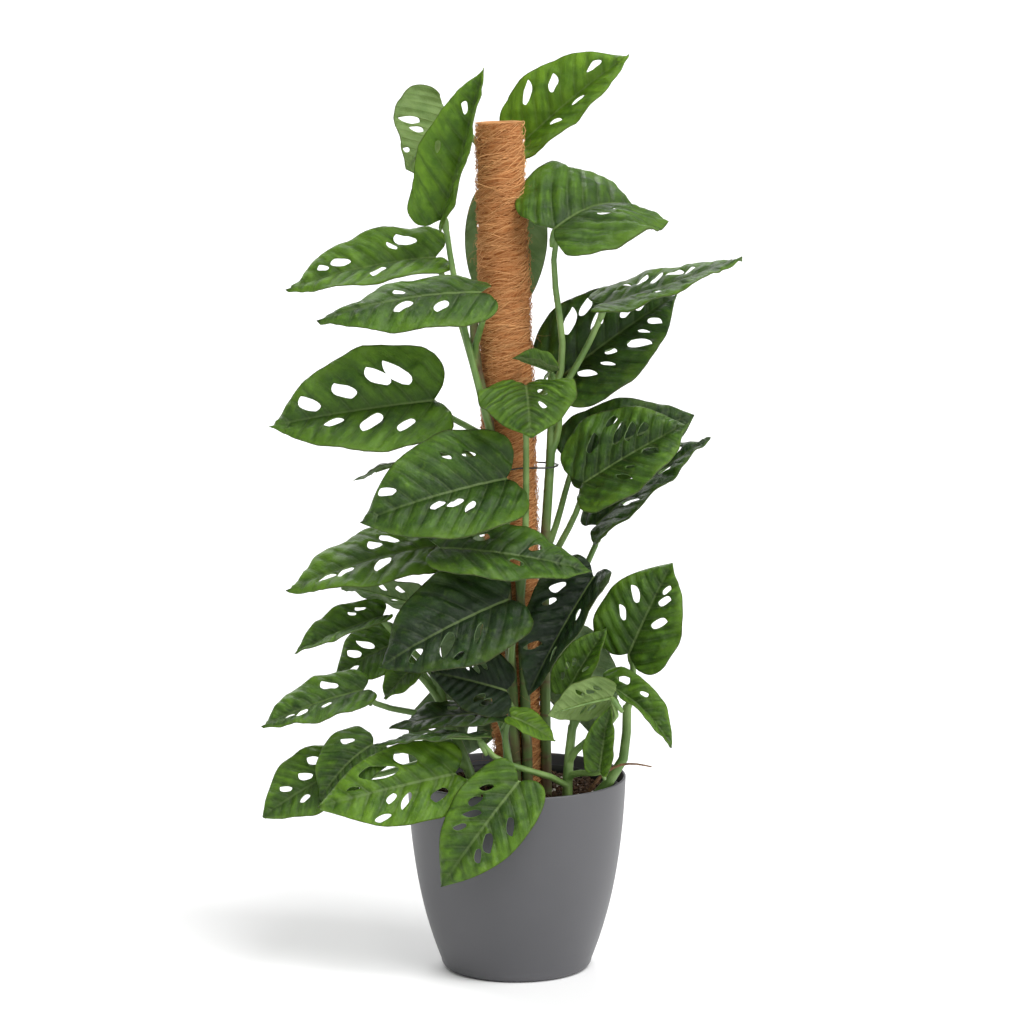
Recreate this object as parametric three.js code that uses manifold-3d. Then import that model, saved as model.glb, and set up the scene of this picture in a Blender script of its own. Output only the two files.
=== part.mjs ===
// A potted climbing monstera: holed leaves on long petioles, vines that climb a coir-wrapped pole,
// and low shoots that lean over the rim of a round plastic pot.
// Units are millimetres and +Z is up. The origin is the middle of the underside of the pot.
import * as THREE from "three";
import { mergeVertices } from "three/addons/utils/BufferGeometryUtils.js";
import Module from "manifold-3d";

const wasm = await Module();
wasm.setup();

// ---- Driving dimensions ----

const GAP = 0.3; // air between two pieces that touch
const POT = { height: 214, rimRadius: 120, footRadius: 83, footRound: 9, wall: 3, floor: 4, sidePoints: 40 };
const NURSERY = { clearance: 4, wall: 1.6, belowRim: 12 };
const SOIL = { belowRim: 24, clearance: 1.2, roughness: 2.5, rings: 5 };
const POLE = { footX: 3, lean: 1.71, height: 737, buried: 130, coreRadius: 14, sunk: 2 };
const COIR = { radius: 25, belly: 4, buried: 100, coreClearance: 0.5 };
const STEM = { footRadius: 6, tipRadius: 4.4, rooted: 25, blunt: 0.5, sides: 7, step: 30 };
const PETIOLE = { rootRadius: 4.4, tipRadius: 2.8, collar: 0.18, sides: 5, steps: 6 };
// How far outward and upward a petiole leaves its vine, and how strongly both ends pull it as a share
// of its span.
const SWEEP = { outward: 0.45, upward: 0.9, pull: 0.36 };
const LEAF = { thickness: 1.1, lobe: 0.09, acumen: 0.8 };
// A leaf's holes: sizes and distance from the midrib as shares of its width, the lean of the side
// veins, where the first and last one start along the midrib, and the widths that carry one and two.
const WINDOW = { length: 0.13, width: 0.055, angle: 58, reach: 0.23, first: 0.14, last: 0.36,
  oneFrom: 50, twoFrom: 80 };
const TIE = { height: 367, wire: 1.1, clearance: 0.6, narrow: 3.2, reach: 8 };
const ROOT = { thick: 2.4, thin: 1, steps: 10 };
const ROUND = { pot: 36, soil: 24, pole: 18, tie: 30, socket: 10 };

const rad = THREE.MathUtils.degToRad;
const up = new THREE.Vector3(0, 0, 1);
const soilTop = POT.height - SOIL.belowRim;
const poleSlope = Math.tan(rad(POLE.lean));

// ---- Finishes ----

const finish = (color, roughness, metalness = 0) =>
  new THREE.MeshStandardMaterial({ color, roughness, metalness });
const FINISH = {
  pot: finish(0x606062, 0.5),
  nursery: finish(0x1c1b1a, 0.6),
  soil: finish(0x2e2118, 0.95),
  core: finish(0x8a6b4a, 0.8),
  coir: finish(0xa57a4e, 0.95),
  tie: finish(0x2a2c26, 0.5),
  vine: finish(0x67804e, 0.5),
  root: finish(0x7a5a3a, 0.8),
  leaf: finish(0x4c6c30, 0.4),
};

const plant = new THREE.Group();

// Adds a geometry, or a manifold solid, to the model as a named mesh.
function addPiece(name, shape, material, parent = plant) {
  const geometry = shape.isBufferGeometry ? shape : geometryOf(shape);
  const mesh = new THREE.Mesh(geometry, material);
  mesh.name = name;
  parent.add(mesh);
  return mesh;
}

// ---- Joining and cutting ----

function solidOf(geometry) {
  const bare = new THREE.BufferGeometry().setAttribute("position", geometry.getAttribute("position"));
  bare.setIndex(geometry.index);
  const merged = mergeVertices(bare, 1e-3);
  const vertProperties = merged.getAttribute("position").array;
  const triVerts = new Uint32Array(merged.index.array);
  return new wasm.Manifold(new wasm.Mesh({ numProp: 3, vertProperties, triVerts }));
}

function geometryOf(solid) {
  const { vertProperties, triVerts } = solid.getMesh();
  return new THREE.BufferGeometry()
    .setAttribute("position", new THREE.BufferAttribute(new Float32Array(vertProperties), 3))
    .setIndex(new THREE.BufferAttribute(new Uint32Array(triVerts), 1));
}

// ---- Turned pieces ----

// A solid of revolution about Z from profile points [radius, height], listed from the bottom up outside.
function turned(profile, segments) {
  const points = profile.map(([r, z]) => new THREE.Vector2(r, z));
  return new THREE.LatheGeometry(points, segments).rotateX(Math.PI / 2);
}

// The outer side of the pot, as a curve of radius against height: it swells fast above the foot and
// stands almost upright under the rim.
const potSpread = POT.rimRadius - POT.footRadius;
const potSide = new THREE.CubicBezierCurve(
  new THREE.Vector2(POT.footRadius, POT.footRound),
  new THREE.Vector2(POT.footRadius + 0.6 * potSpread, 0.3 * POT.height),
  new THREE.Vector2(POT.footRadius + 0.92 * potSpread, 0.6 * POT.height),
  new THREE.Vector2(POT.rimRadius, POT.height),
);
const sidePoints = potSide.getPoints(POT.sidePoints);

// Radius of the pot's outer side at a height above its underside.
function potRadiusAt(z) {
  const k = sidePoints.findIndex((p) => p.y >= z);
  if (k <= 0) return k < 0 ? POT.rimRadius : POT.footRadius;
  const [low, high] = [sidePoints[k - 1], sidePoints[k]];
  return low.x + ((high.x - low.x) * (z - low.y)) / (high.y - low.y);
}

// Heights that divide a wall evenly from low to high.
const levels = (low, high, count) =>
  Array.from({ length: count + 1 }, (_, i) => low + ((high - low) * i) / count);

function makePot() {
  const corner = levels(0, 90, 3).map((a) => [
    POT.footRadius - POT.footRound + POT.footRound * Math.sin(rad(a)),
    POT.footRound - POT.footRound * Math.cos(rad(a)),
  ]);
  const outer = levels(POT.footRound, POT.height - POT.wall / 3, 6).slice(1);
  const inner = levels(POT.floor, POT.height - POT.wall / 3, 6).reverse();
  const profile = [
    [0, 0],
    ...corner,
    ...outer.map((z) => [potRadiusAt(z), z]),
    [POT.rimRadius - POT.wall / 3, POT.height],
    [POT.rimRadius - (2 * POT.wall) / 3, POT.height],
    ...inner.map((z) => [potRadiusAt(z) - POT.wall, z]),
    [0, POT.floor],
  ];
  addPiece("pot", turned(profile, ROUND.pot), FINISH.pot);
}

const nurseryFloor = POT.floor + GAP;
const nurseryTop = POT.height - NURSERY.belowRim;
const nurseryRadiusAt = (z) => potRadiusAt(z) - POT.wall - NURSERY.clearance;
const soilFloor = nurseryFloor + NURSERY.wall + GAP;
const soilRadiusAt = (z) => nurseryRadiusAt(z) - NURSERY.wall - SOIL.clearance;

function makeNurseryPot() {
  const heights = levels(nurseryFloor, nurseryTop, 6);
  const inner = levels(nurseryFloor + NURSERY.wall, nurseryTop, 6).reverse();
  const profile = [
    [0, nurseryFloor],
    ...heights.map((z) => [nurseryRadiusAt(z), z]),
    ...inner.map((z) => [nurseryRadiusAt(z) - NURSERY.wall, z]),
    [0, nurseryFloor + NURSERY.wall],
  ];
  addPiece("nursery_pot", turned(profile, ROUND.pot), FINISH.nursery);
}

// ---- The pole ----

const poleTop = POLE.height;
// Distance of the pole's axis from the pot's, at a height above the soil.
const poleX = (h) => POLE.footX - h * poleSlope;
const coirRadiusAt = (h) =>
  COIR.radius + COIR.belly * Math.sin(Math.PI * THREE.MathUtils.clamp(h / poleTop, 0, 1));

function makePole() {
  const pole = new THREE.Group();
  pole.position.set(POLE.footX, 0, soilTop);
  pole.rotation.y = -rad(POLE.lean);
  plant.add(pole);
  const core = [
    [0, -POLE.buried],
    [POLE.coreRadius, -POLE.buried],
    [POLE.coreRadius, poleTop - POLE.sunk],
    [0, poleTop - POLE.sunk],
  ];
  addPiece("pole_core", turned(core, ROUND.pole), FINISH.core, pole);
  const bore = POLE.coreRadius + COIR.coreClearance;
  const outside = [-COIR.buried, ...levels(0, poleTop, 8)];
  const sleeve = [
    ...outside.map((h) => [coirRadiusAt(h), h]),
    [bore, poleTop],
    [bore, -COIR.buried],
  ];
  sleeve.push(sleeve[0]);
  addPiece("coir_wrap", turned(sleeve, ROUND.pole), FINISH.coir, pole);
}

// A point beside the pole: [x, y] from the face of the coir, at height h above the soil.
function beside([x, y, h]) {
  const push = 1 + coirRadiusAt(h) / Math.hypot(x, y);
  return new THREE.Vector3(poleX(h) + x * push, y * push, soilTop + h);
}

// A point on the face of the coir for a stem: [angle, h, lift], with 270 degrees at the front.
function onCoir([angle, h, lift]) {
  const r = coirRadiusAt(h) + STEM.footRadius + GAP + lift;
  return new THREE.Vector3(poleX(h) + r * Math.cos(rad(angle)), r * Math.sin(rad(angle)), soilTop + h);
}

// A point on a shoot that passes the pot's rim: [angle, clearance inside the rim, height].
function atRim([angle, clearance, h]) {
  const r = POT.rimRadius - POT.wall - STEM.footRadius - clearance;
  return new THREE.Vector3(r * Math.cos(rad(angle)), r * Math.sin(rad(angle)), soilTop + h);
}

// ---- Limbs: tapered rods bent along a curve ----

// radii lists [share of the length, radius] from root to tip; both ends are closed and blunt.
function limb(curve, radii, sides, steps) {
  const radiusAt = (u) => {
    const k = radii.findIndex(([share]) => share >= u);
    if (k <= 0) return radii[0][1];
    const [[a, ra], [b, rb]] = [radii[k - 1], radii[k]];
    return ra + ((rb - ra) * (u - a)) / (b - a);
  };
  const rings = levels(0, 1, steps);
  const profile = [[0, 0], ...rings.map((u) => [radiusAt(u), u]), [0, 1]];
  const rod = turned(profile, sides);
  const frames = curve.computeFrenetFrames(steps, false);
  const place = rod.getAttribute("position");
  for (let i = 0; i < place.count; i++) {
    const u = THREE.MathUtils.clamp(place.getZ(i), 0, 1);
    const onAxis = Math.hypot(place.getX(i), place.getY(i)) < 1e-6;
    const k = Math.round(u * steps);
    const p = curve.getPointAt(u);
    p.addScaledVector(frames.normals[k], place.getX(i)).addScaledVector(frames.binormals[k], place.getY(i));
    if (onAxis) p.addScaledVector(frames.tangents[k], u < 0.5 ? -STEM.blunt : STEM.blunt);
    place.setXYZ(i, p.x, p.y, p.z);
  }
  return rod;
}

// ---- Leaf blades ----

// The frame of a blade: e runs from base to tip, n out of its upper face, b to one side.
function bladeFrame(base, tip, face, bend) {
  const chord = tip.clone().sub(base);
  const e = chord.clone().normalize();
  const n = face.clone().addScaledVector(e, -face.dot(e)).normalize();
  const b = n.clone().cross(e);
  const half = rad(bend) / 2;
  const length = (chord.length() * half) / Math.sin(half);
  return { base, e, n, b, half, length, turn: (2 * half) / length };
}

// The direction of the midrib, and the blade's normal, at x along the midrib.
function along(frame, x) {
  const angle = frame.half - frame.turn * Math.max(x, 0);
  const t = frame.e.clone().multiplyScalar(Math.cos(angle)).addScaledVector(frame.n, Math.sin(angle));
  const n = frame.n.clone().multiplyScalar(Math.cos(angle)).addScaledVector(frame.e, -Math.sin(angle));
  return { t, n };
}

// The point of a blade x along its midrib and y to the side, lifted off its middle surface.
function onBlade(frame, fold, x, y, lift) {
  const { t, n } = along(frame, x);
  const angle = frame.half - frame.turn * Math.max(x, 0);
  const p = frame.base.clone();
  p.addScaledVector(frame.e, (Math.sin(frame.half) - Math.sin(angle)) / frame.turn);
  p.addScaledVector(frame.n, (Math.cos(angle) - Math.cos(frame.half)) / frame.turn);
  if (x < 0) p.addScaledVector(t, x);
  p.addScaledVector(frame.b, y * Math.cos(rad(fold)));
  return p.addScaledVector(n, Math.abs(y) * Math.sin(rad(fold)) + lift);
}

// One half of the outline of a blade, from its base round the lobe to its tip: the control points are
// shares of its length and width, and each curve is cut into its own number of steps.
const OUTLINE_STEPS = [2, 3, 5];
function halfOutline(length, width) {
  const outline = new THREE.Path();
  const lobe = -LEAF.lobe * length;
  outline.moveTo(0, 0);
  outline.bezierCurveTo(lobe / 3, 0.04 * width, lobe, 0.1 * width, lobe, 0.24 * width);
  outline.bezierCurveTo(lobe, 0.4 * width, 0.1 * length, 0.5 * width, 0.3 * length, 0.5 * width);
  outline.bezierCurveTo(0.62 * length, 0.5 * width, LEAF.acumen * length, 0.1 * width, length, 0);
  const parts = outline.curves.map((curve, i) => curve.getPoints(OUTLINE_STEPS[i]).slice(1));
  return [new THREE.Vector2(0, 0), ...parts.flat()];
}

// The holes of one half: rounded slots that lean with the side veins, more of them in a wider blade.
function halfWindows(length, width) {
  const count = (width >= WINDOW.oneFrom) + (width >= WINDOW.twoFrom);
  const lean = rad(WINDOW.angle);
  const reach = WINDOW.reach * width;
  return [WINDOW.first, WINDOW.last].slice(0, count).map((share) => {
    const x = share * length + reach * Math.cos(lean);
    const y = reach * Math.sin(lean);
    const ring = new THREE.EllipseCurve(x, y, WINDOW.length * width, WINDOW.width * width, 0,
      2 * Math.PI, false, lean);
    return ring.getPoints(5).slice(0, -1);
  });
}

// A blade as one closed solid: two halves that meet along the midrib, pierced by their holes.
function blade(frame, width, fold) {
  const points = [];
  const put = (x, y, lift) => {
    points.push(...onBlade(frame, fold, x, y, lift).toArray());
  };
  const t = LEAF.thickness / 2;
  const facet = (a, b, c) => [a, b, c].forEach(([q, lift]) => put(q.x, q.y, lift));
  const midrib = levels(0, frame.length, 4).slice(1, -1).reverse();
  for (const side of [1, -1]) {
    const turn = (ring, hole) => {
      const mirrored = ring.map((q) => new THREE.Vector2(q.x, q.y * side));
      return THREE.ShapeUtils.isClockWise(mirrored) === hole ? mirrored : mirrored.reverse();
    };
    const edge = halfOutline(frame.length, width);
    const outline = turn([...edge, ...midrib.map((x) => new THREE.Vector2(x, 0))], false);
    const holes = halfWindows(frame.length, width).map((ring) => turn(ring, true));
    const all = [outline, ...holes].flat();
    for (const [i, j, k] of THREE.ShapeUtils.triangulateShape(outline, holes)) {
      const face = [all[i], all[j], all[k]];
      if (THREE.ShapeUtils.area(face) < 0) face.reverse();
      facet(...face.map((q) => [q, t]));
      facet(...face.reverse().map((q) => [q, -t]));
    }
    for (const ring of [outline, ...holes])
      ring.forEach((q, i) => {
        const next = ring[(i + 1) % ring.length];
        if (q.y === 0 && next.y === 0) return;
        facet([q, -t], [next, -t], [next, t]);
        facet([q, -t], [next, t], [q, t]);
      });
  }
  const shape = new THREE.BufferGeometry();
  return shape.setAttribute("position", new THREE.Float32BufferAttribute(points, 3));
}

// ---- The plant ----

// Each vine's route from its root in the soil. A climber's points are [angle, height, lift] on the
// coir, a low shoot's are [x, y, height] beside the pole, and those of the shoot that leans over the
// rim are [angle, clearance inside the rim, height].
const CLIMBERS = {
  vine_left: [[264, 0, 0], [264, 80, 0], [262, 160, 0], [258, 240, 0], [255, 300, 0], [248, 350, 0],
    [240, 400, 0], [226, 440, 0], [205, 480, 0], [190, 530, 0]],
  vine_right: [[342, 0, 0], [342, 90, 0], [345, 180, 0], [350, 270, 1], [350, 330, 6], [350, 398, 12],
    [350, 465, 15]],
  vine_back: [[95, 0, 0], [92, 150, 0], [86, 300, 0], [90, 450, 0], [95, 600, 0], [92, 680, 0]],
  vine_front: [[288, 0, 0], [288, 80, 0], [286, 160, 0], [282, 250, 1]],
};
const SHOOTS = {
  vine_low_left: [[-28, -28, 0], [-36, -34, 45], [-52, -30, 95], [-60, -24, 145]],
  vine_low_front: [[-4, -46, 0], [-4, -54, 30], [-8, -62, 60]],
  vine_low_right: [[34, -34, 0], [36, -36, 45], [40, -34, 90]],
};
const RIM_SHOOTS = {
  vine_low_rim: [[333, 21, 0], [335, 2, 24], [338, -14, 52], [339, -17, 110]],
};

// Leaves: name, vine, height where the petiole leaves it, base and tip beside the pole, width, the way
// the upper face looks, the fold of each half and the bend of the midrib in degrees.
const LEAVES = [
  ["crown_right", "vine_back", 600, [15, 25, 717], [118, 25, 810], 105, [-35, -82, 45], 35, 12],
  ["crown_back", "vine_back", 620, [-40, 44, 737], [-78, 8, 684], 118, [-20, 90, 35], 15, 25],
  ["crown_front", "vine_left", 400, [-40, -24, 636], [-7, -22, 796], 100, [-60, -75, 20], 48, -15],
  ["left_high", "vine_left", 430, [-46, 0, 592], [-207, -11, 558], 92, [0, -58, 82], 18, 20],
  ["left_fore", "vine_left", 470, [-16, -50, 561], [-173, -84, 532], 86, [0, -55, 85], -12, 25],
  ["left_mid", "vine_left", 385, [-51, -9, 438], [-228, -30, 412], 138, [-5, -80, 55], 22, 12],
  ["centre_left", "vine_left", 270, [-2, -41, 360], [-136, -83, 317], 130, [-5, -85, 47], 18, 30],
  ["left_peek", "vine_back", 345, [-21, 14, 379], [-141, 2, 349], 66, [-20, 20, 95], 10, 20],
  ["front_small", "vine_front", 225, [11, -31, 461], [18, -90, 411], 106, [0, -67, 74], 5, 65],
  ["curl_small", "vine_right", 380, [29, -26, 475], [3, -24, 489], 35, [0, -40, 90], 50, 10],
  ["right_mid", "vine_right", 400, [32, 7, 465], [161, 19, 554], 132, [-30, -85, 44], 18, 12],
  ["right_long", "vine_right", 430, [79, -26, 545], [228, -36, 596], 92, [-30, -22, 92], 8, -8],
  ["right_high", "vine_right", 440, [38, -34, 626], [138, 51, 621], 156, [-32, -76, 56], 12, 88],
  ["right_low_fore", "vine_right", 250, [53, -27, 354], [166, -47, 422], 126, [-34, -73, 59], 20, 12],
  ["right_low_back", "vine_right", 270, [42, 0, 372], [175, 17, 420], 100, [-15, -85, 50], 10, 15],
  ["right_low_under", "vine_right", 190, [64, -7, 303], [190, -9, 398], 95, [-55, -42, 72], 15, 15],
  ["right_bottom", "vine_low_rim", 105, [99, -36, 167], [147, -51, 270], 105, [-30, -88, 35], 15, 12],
  ["centre_dark", "vine_right", 190, [61, -37, 252], [7, -53, 126], 104, [-57, -77, 30], 40, 15],
  ["centre_band", "vine_front", 180, [-56, -63, 289], [64, -56, 261], 85, [5, -60, 80], 10, 20],
  ["left_low_a", "vine_left", 200, [-52, -18, 283], [-217, -46, 237], 100, [-10, -45, 88], 6, 20],
  ["left_low_b", "vine_low_left", 150, [-74, -15, 217], [-158, -34, 241], 72, [-10, 50, 85], 10, 15],
  ["left_low_c", "vine_low_left", 130, [-115, -24, 205], [-211, -44, 168], 60, [-30, -50, 80], 28, 15],
  ["left_low_d", "vine_low_left", 110, [-99, -4, 172], [-169, -16, 139], 75, [-10, -70, 70], 10, 15],
  ["centre_big", "vine_left", 150, [-4, -58, 233], [-123, -103, 166], 121, [-26, -82, 51], 12, 25],
  ["left_bottom_a", "vine_low_left", 80, [-139, -51, 130], [-249, -77, 95], 68, [-20, -52, 82], 12, 18],
  ["left_bottom_b", "vine_low_left", 60, [-133, -66, 75], [-193, -91, 15], 74, [-35, -80, 40], 8, 70],
  ["left_bottom_c", "vine_low_left", 40, [-165, -50, 43], [-253, -77, -5], 84, [-40, -78, 45], 12, 25],
  ["left_bottom_d", "vine_low_front", 20, [-54, -84, 47], [-193, -132, 20], 92, [0, -88, 46], 4, 14],
  ["pot_drape", "vine_low_front", 25, [-1, -99, 43], [-75, -128, -66], 90, [-10, -90, 35], 10, 25],
  ["right_droop", "vine_low_right", 85, [74, -44, 136], [143, -77, 72], 54, [40, -60, 60], 42, 50],
  ["right_pale", "vine_low_right", 50, [83, -75, 129], [25, -78, 111], 60, [0, 80, 50], 10, 15],
  ["right_pale_small", "vine_low_front", 60, [-4, -68, 108], [31, -74, 82], 36, [0, -50, 85], 15, 20],
  ["centre_under", "vine_front", 60, [-6, -33, 130], [-70, -58, 153], 80, [0, -80, 60], 10, 15],
  ["low_left_e", "vine_low_front", 50, [-12, -40, 106], [-115, -68, 92], 66, [0, -30, 95], 8, 20],
  ["low_left_f", "vine_low_right", 6, [-30, -79, 88], [-132, -105, 83], 56, [0, 10, 98], 6, 15],
  ["mid_left_small", "vine_low_left", 100, [-86, -37, 152], [-119, -48, 120], 42, [-20, -60, 70], 15, 15],
  ["right_fold", "vine_low_right", 80, [36, -38, 127], [75, -41, 197], 54, [-40, -80, 30], 35, 10],
  ["right_inner", "vine_low_right", 30, [70, -73, 51], [82, -81, 121], 42, [-40, -80, 30], 30, 10],
  ["back_high", "vine_back", 560, [4, 39, 651], [-2, 51, 503], 92, [0, 95, 20], 10, 20],
  ["back_right_mid", "vine_back", 400, [33, 31, 469], [132, 97, 500], 92, [10, 60, 75], 12, 20],
  ["back_left_mid", "vine_back", 310, [-14, 37, 334], [-100, 109, 305], 92, [-20, 50, 80], 12, 25],
  ["back_centre", "vine_back", 260, [-3, 26, 303], [-66, 101, 242], 92, [-20, 60, 75], 12, 25],
  ["back_low", "vine_back", 190, [-9, 39, 202], [-30, 117, 38], 128, [0, 90, 25], 12, 25],
  ["back_low_right", "vine_back", 150, [26, 39, 167], [81, 86, 38], 104, [25, 88, 35], 12, 22],
  ["back_bottom", "vine_back", 80, [-18, 38, 106], [-106, 92, -7], 112, [-25, 85, 38], 10, 25],
];

function makeVines() {
  const vines = {};
  const kinds = [[CLIMBERS, onCoir], [SHOOTS, beside], [RIM_SHOOTS, atRim]];
  const routes = kinds.flatMap(([table, place]) => Object.entries(table).map((row) => [...row, place]));
  for (const [name, route, place] of routes) {
    const points = route.map(place);
    const root = points[0].clone().setZ(soilTop - STEM.rooted);
    const curve = new THREE.CatmullRomCurve3([root, ...points], false, "centripetal");
    const taper = [[0, STEM.footRadius], [1, STEM.tipRadius]];
    const rod = limb(curve, taper, STEM.sides, Math.ceil(curve.getLength() / STEM.step));
    vines[name] = { curve, foot: root, solid: solidOf(rod) };
  }
  return vines;
}

// The point of a vine's middle line at a height above the soil.
const NODE_PLACES = 120;
function nodeOf(curve, h) {
  const miss = (p) => Math.abs(p.z - soilTop - h);
  return curve.getSpacedPoints(NODE_PLACES).reduce((best, p) => (miss(p) < miss(best) ? p : best));
}

// The middle line of a petiole, from its node on a vine to just under the base of its blade.
function petioleCurve(start, frame, fold) {
  const { t, n } = along(frame, 0);
  const room = 1 + Math.max(0, -Math.tan(rad(fold)));
  const under = LEAF.thickness / 2 + GAP + STEM.blunt + PETIOLE.tipRadius * room;
  const end = frame.base.clone().addScaledVector(n, -under);
  const reach = end.clone().sub(start);
  const out = new THREE.Vector3(start.x - poleX(start.z - soilTop), start.y, 0).normalize();
  const leave = out.multiplyScalar(SWEEP.outward).addScaledVector(up, SWEEP.upward).normalize();
  const arrive = t.add(n).add(up).normalize();
  const pull = SWEEP.pull * reach.length();
  return new THREE.CubicBezierCurve3(
    start,
    start.clone().addScaledVector(leave, pull),
    end.clone().addScaledVector(arrive, -pull),
    end,
  );
}

function makeFoliage() {
  const vines = makeVines();
  for (const [name, vine, node, base, tip, width, face, fold, bend] of LEAVES) {
    const frame = bladeFrame(beside(base), beside(tip), new THREE.Vector3(...face), bend);
    addPiece(name, blade(frame, width, fold), FINISH.leaf);
    const start = nodeOf(vines[vine].curve, node);
    const curve = petioleCurve(start, frame, fold);
    const shaft = 0.5 * (PETIOLE.rootRadius + PETIOLE.tipRadius);
    const taper = [[0, PETIOLE.rootRadius], [PETIOLE.collar, shaft], [1, PETIOLE.tipRadius]];
    const rod = limb(curve, taper, PETIOLE.sides, PETIOLE.steps);
    vines[vine].solid = vines[vine].solid.add(solidOf(rod));
  }
  for (const [name, { solid }] of Object.entries(vines)) addPiece(name, solid, FINISH.vine);
  return vines;
}

// ---- The soil, with a socket for the pole and for each stem ----

// How far the soil's surface stands up or down at a place, as a share of its roughness.
const lumpAt = (x, y) => Math.sin(x * 0.11 + 1.7 * Math.cos(y * 0.07)) * Math.cos(y * 0.13 - 0.6);

function makeSoil(vines) {
  const top = levels(0, 1, SOIL.rings).slice(1).reverse();
  const walls = levels(soilFloor, soilTop - SOIL.roughness, 4);
  const profile = [
    [0, soilFloor],
    ...walls.map((z) => [soilRadiusAt(z), z]),
    ...top.slice(1).map((share) => [share * soilRadiusAt(soilTop), soilTop]),
    [0, soilTop],
  ];
  const body = turned(profile, ROUND.soil);
  const place = body.getAttribute("position");
  for (let i = 0; i < place.count; i++) {
    const [x, y, z] = [place.getX(i), place.getY(i), place.getZ(i)];
    if (z > soilTop - SOIL.roughness / 2) place.setZ(i, z + SOIL.roughness * lumpAt(x, y));
  }
  let solid = solidOf(body);
  const socket = (radius, depth, sides) =>
    new THREE.CylinderGeometry(radius, radius, 2 * depth, sides).rotateX(Math.PI / 2);
  const bore = socket(coirRadiusAt(0) + GAP, POLE.buried + GAP, ROUND.pole);
  bore.rotateY(-rad(POLE.lean)).translate(POLE.footX, 0, soilTop);
  solid = solid.subtract(solidOf(bore));
  for (const { foot } of Object.values(vines)) {
    const hole = socket(STEM.footRadius + 3 * GAP, STEM.rooted + 2 * GAP, ROUND.socket);
    solid = solid.subtract(solidOf(hole.translate(foot.x, foot.y, soilTop)));
  }
  addPiece("soil", solid, FINISH.soil);
}

// ---- Ties and the free root ----

// A wire loop that hugs the coir and bulges out round each stem at its height.
function makeTie(name, h, vines) {
  const centre = poleX(h);
  const stems = Object.keys(CLIMBERS)
    .map((vine) => nodeOf(vines[vine].curve, h))
    .filter((p) => Math.abs(p.z - soilTop - h) < TIE.reach);
  const bare = coirRadiusAt(h) + TIE.clearance + TIE.wire;
  const outside = STEM.footRadius + TIE.clearance + TIE.wire;
  const ring = new THREE.TorusGeometry(bare, TIE.wire, 5, ROUND.tie);
  const place = ring.getAttribute("position");
  for (let i = 0; i < place.count; i++) {
    const angle = Math.atan2(place.getY(i), place.getX(i));
    const extra = stems.map((p) => {
      const off = Math.atan2(p.y, p.x - centre) - angle;
      const near = Math.exp(-((Math.sin(off / 2) * TIE.narrow) ** 4));
      return near * (Math.hypot(p.x - centre, p.y) + outside - bare);
    });
    const grow = 1 + Math.max(0, ...extra) / bare;
    place.setXYZ(i, place.getX(i) * grow, place.getY(i) * grow, place.getZ(i));
  }
  addPiece(name, ring, FINISH.tie).position.set(centre, 0, soilTop + h);
}

// A free root that arches from the soil out over the rim.
function makeRoot() {
  const route = [[56, -42, 18], [70, -50, 38], [88, -58, 50], [104, -62, 52], [121, -64, 49]];
  const curve = new THREE.CatmullRomCurve3(route.map(beside));
  const taper = [[0, ROOT.thick], [1, ROOT.thin]];
  addPiece("aerial_root", limb(curve, taper, PETIOLE.sides, ROOT.steps), FINISH.root);
}

makePot();
makeNurseryPot();
makePole();
const vines = makeFoliage();
makeSoil(vines);
makeTie("tie", TIE.height, vines);
makeRoot();

export default plant;
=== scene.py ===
"""Leaves, stems, coir pole, soil and pot of a climbing monstera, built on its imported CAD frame."""

import math

import bpy
import numpy as np
from bpy.props import (
    FloatProperty,
    FloatVectorProperty,
    IntProperty,
    PointerProperty,
)
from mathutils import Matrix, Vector, noise
from mathutils.geometry import delaunay_2d_cdt


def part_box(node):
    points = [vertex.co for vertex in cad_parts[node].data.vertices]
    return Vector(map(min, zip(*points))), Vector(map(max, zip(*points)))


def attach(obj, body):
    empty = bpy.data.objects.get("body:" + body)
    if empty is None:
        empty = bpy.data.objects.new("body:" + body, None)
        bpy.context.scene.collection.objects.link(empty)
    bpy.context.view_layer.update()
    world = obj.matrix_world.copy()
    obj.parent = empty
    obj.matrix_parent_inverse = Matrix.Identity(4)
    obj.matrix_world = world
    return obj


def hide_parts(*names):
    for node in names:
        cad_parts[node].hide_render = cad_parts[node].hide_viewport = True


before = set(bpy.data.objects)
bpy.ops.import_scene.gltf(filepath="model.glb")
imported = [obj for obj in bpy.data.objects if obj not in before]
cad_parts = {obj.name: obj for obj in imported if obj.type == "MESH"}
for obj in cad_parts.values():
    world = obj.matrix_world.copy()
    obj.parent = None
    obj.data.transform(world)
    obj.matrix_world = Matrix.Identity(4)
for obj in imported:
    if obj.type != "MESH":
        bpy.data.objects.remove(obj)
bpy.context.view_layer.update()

bl_info = {
    "name": "Potted Monstera",
    "version": (1, 0, 0),
    "blender": (4, 5, 0),
    "location": "View3D > Sidebar > Monstera",
    "description": "Looks of a monstera that climbs a coir pole in a grey pot",
    "category": "Object",
}

MM = 0.001

# ---- Places from the frame, and sizes in metres that the CAD pieces have too ----

POT_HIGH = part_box("pot")[1]
NURSERY_LOW, NURSERY_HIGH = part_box("nursery_pot")
SOIL_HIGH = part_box("soil")[1]
SOIL_TOP = 0.190
POLE_FOOT = 0.003
POLE_LEAN = math.radians(1.71)
POLE_HEIGHT = 0.737
COIR_BORE = 0.0145
NURSERY_WALL = 0.0016

# The air in front of a petiole's end, its blunt tip and its radius there in the CAD, in mm.
JOINT_AIR = 0.3
JOINT_BLUNT = 0.5
PETIOLE_TIP = 2.8

# The swelling where a petiole meets its blade: how far past the petiole's end each ring stands in
# metres, and its share of the swelling's radius. The first ring hides inside the petiole.
JOINT_SHAPE = ((-0.018, None), (-0.011, 0.92), (-0.003, 1.0), (0.001, 0.8))

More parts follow.
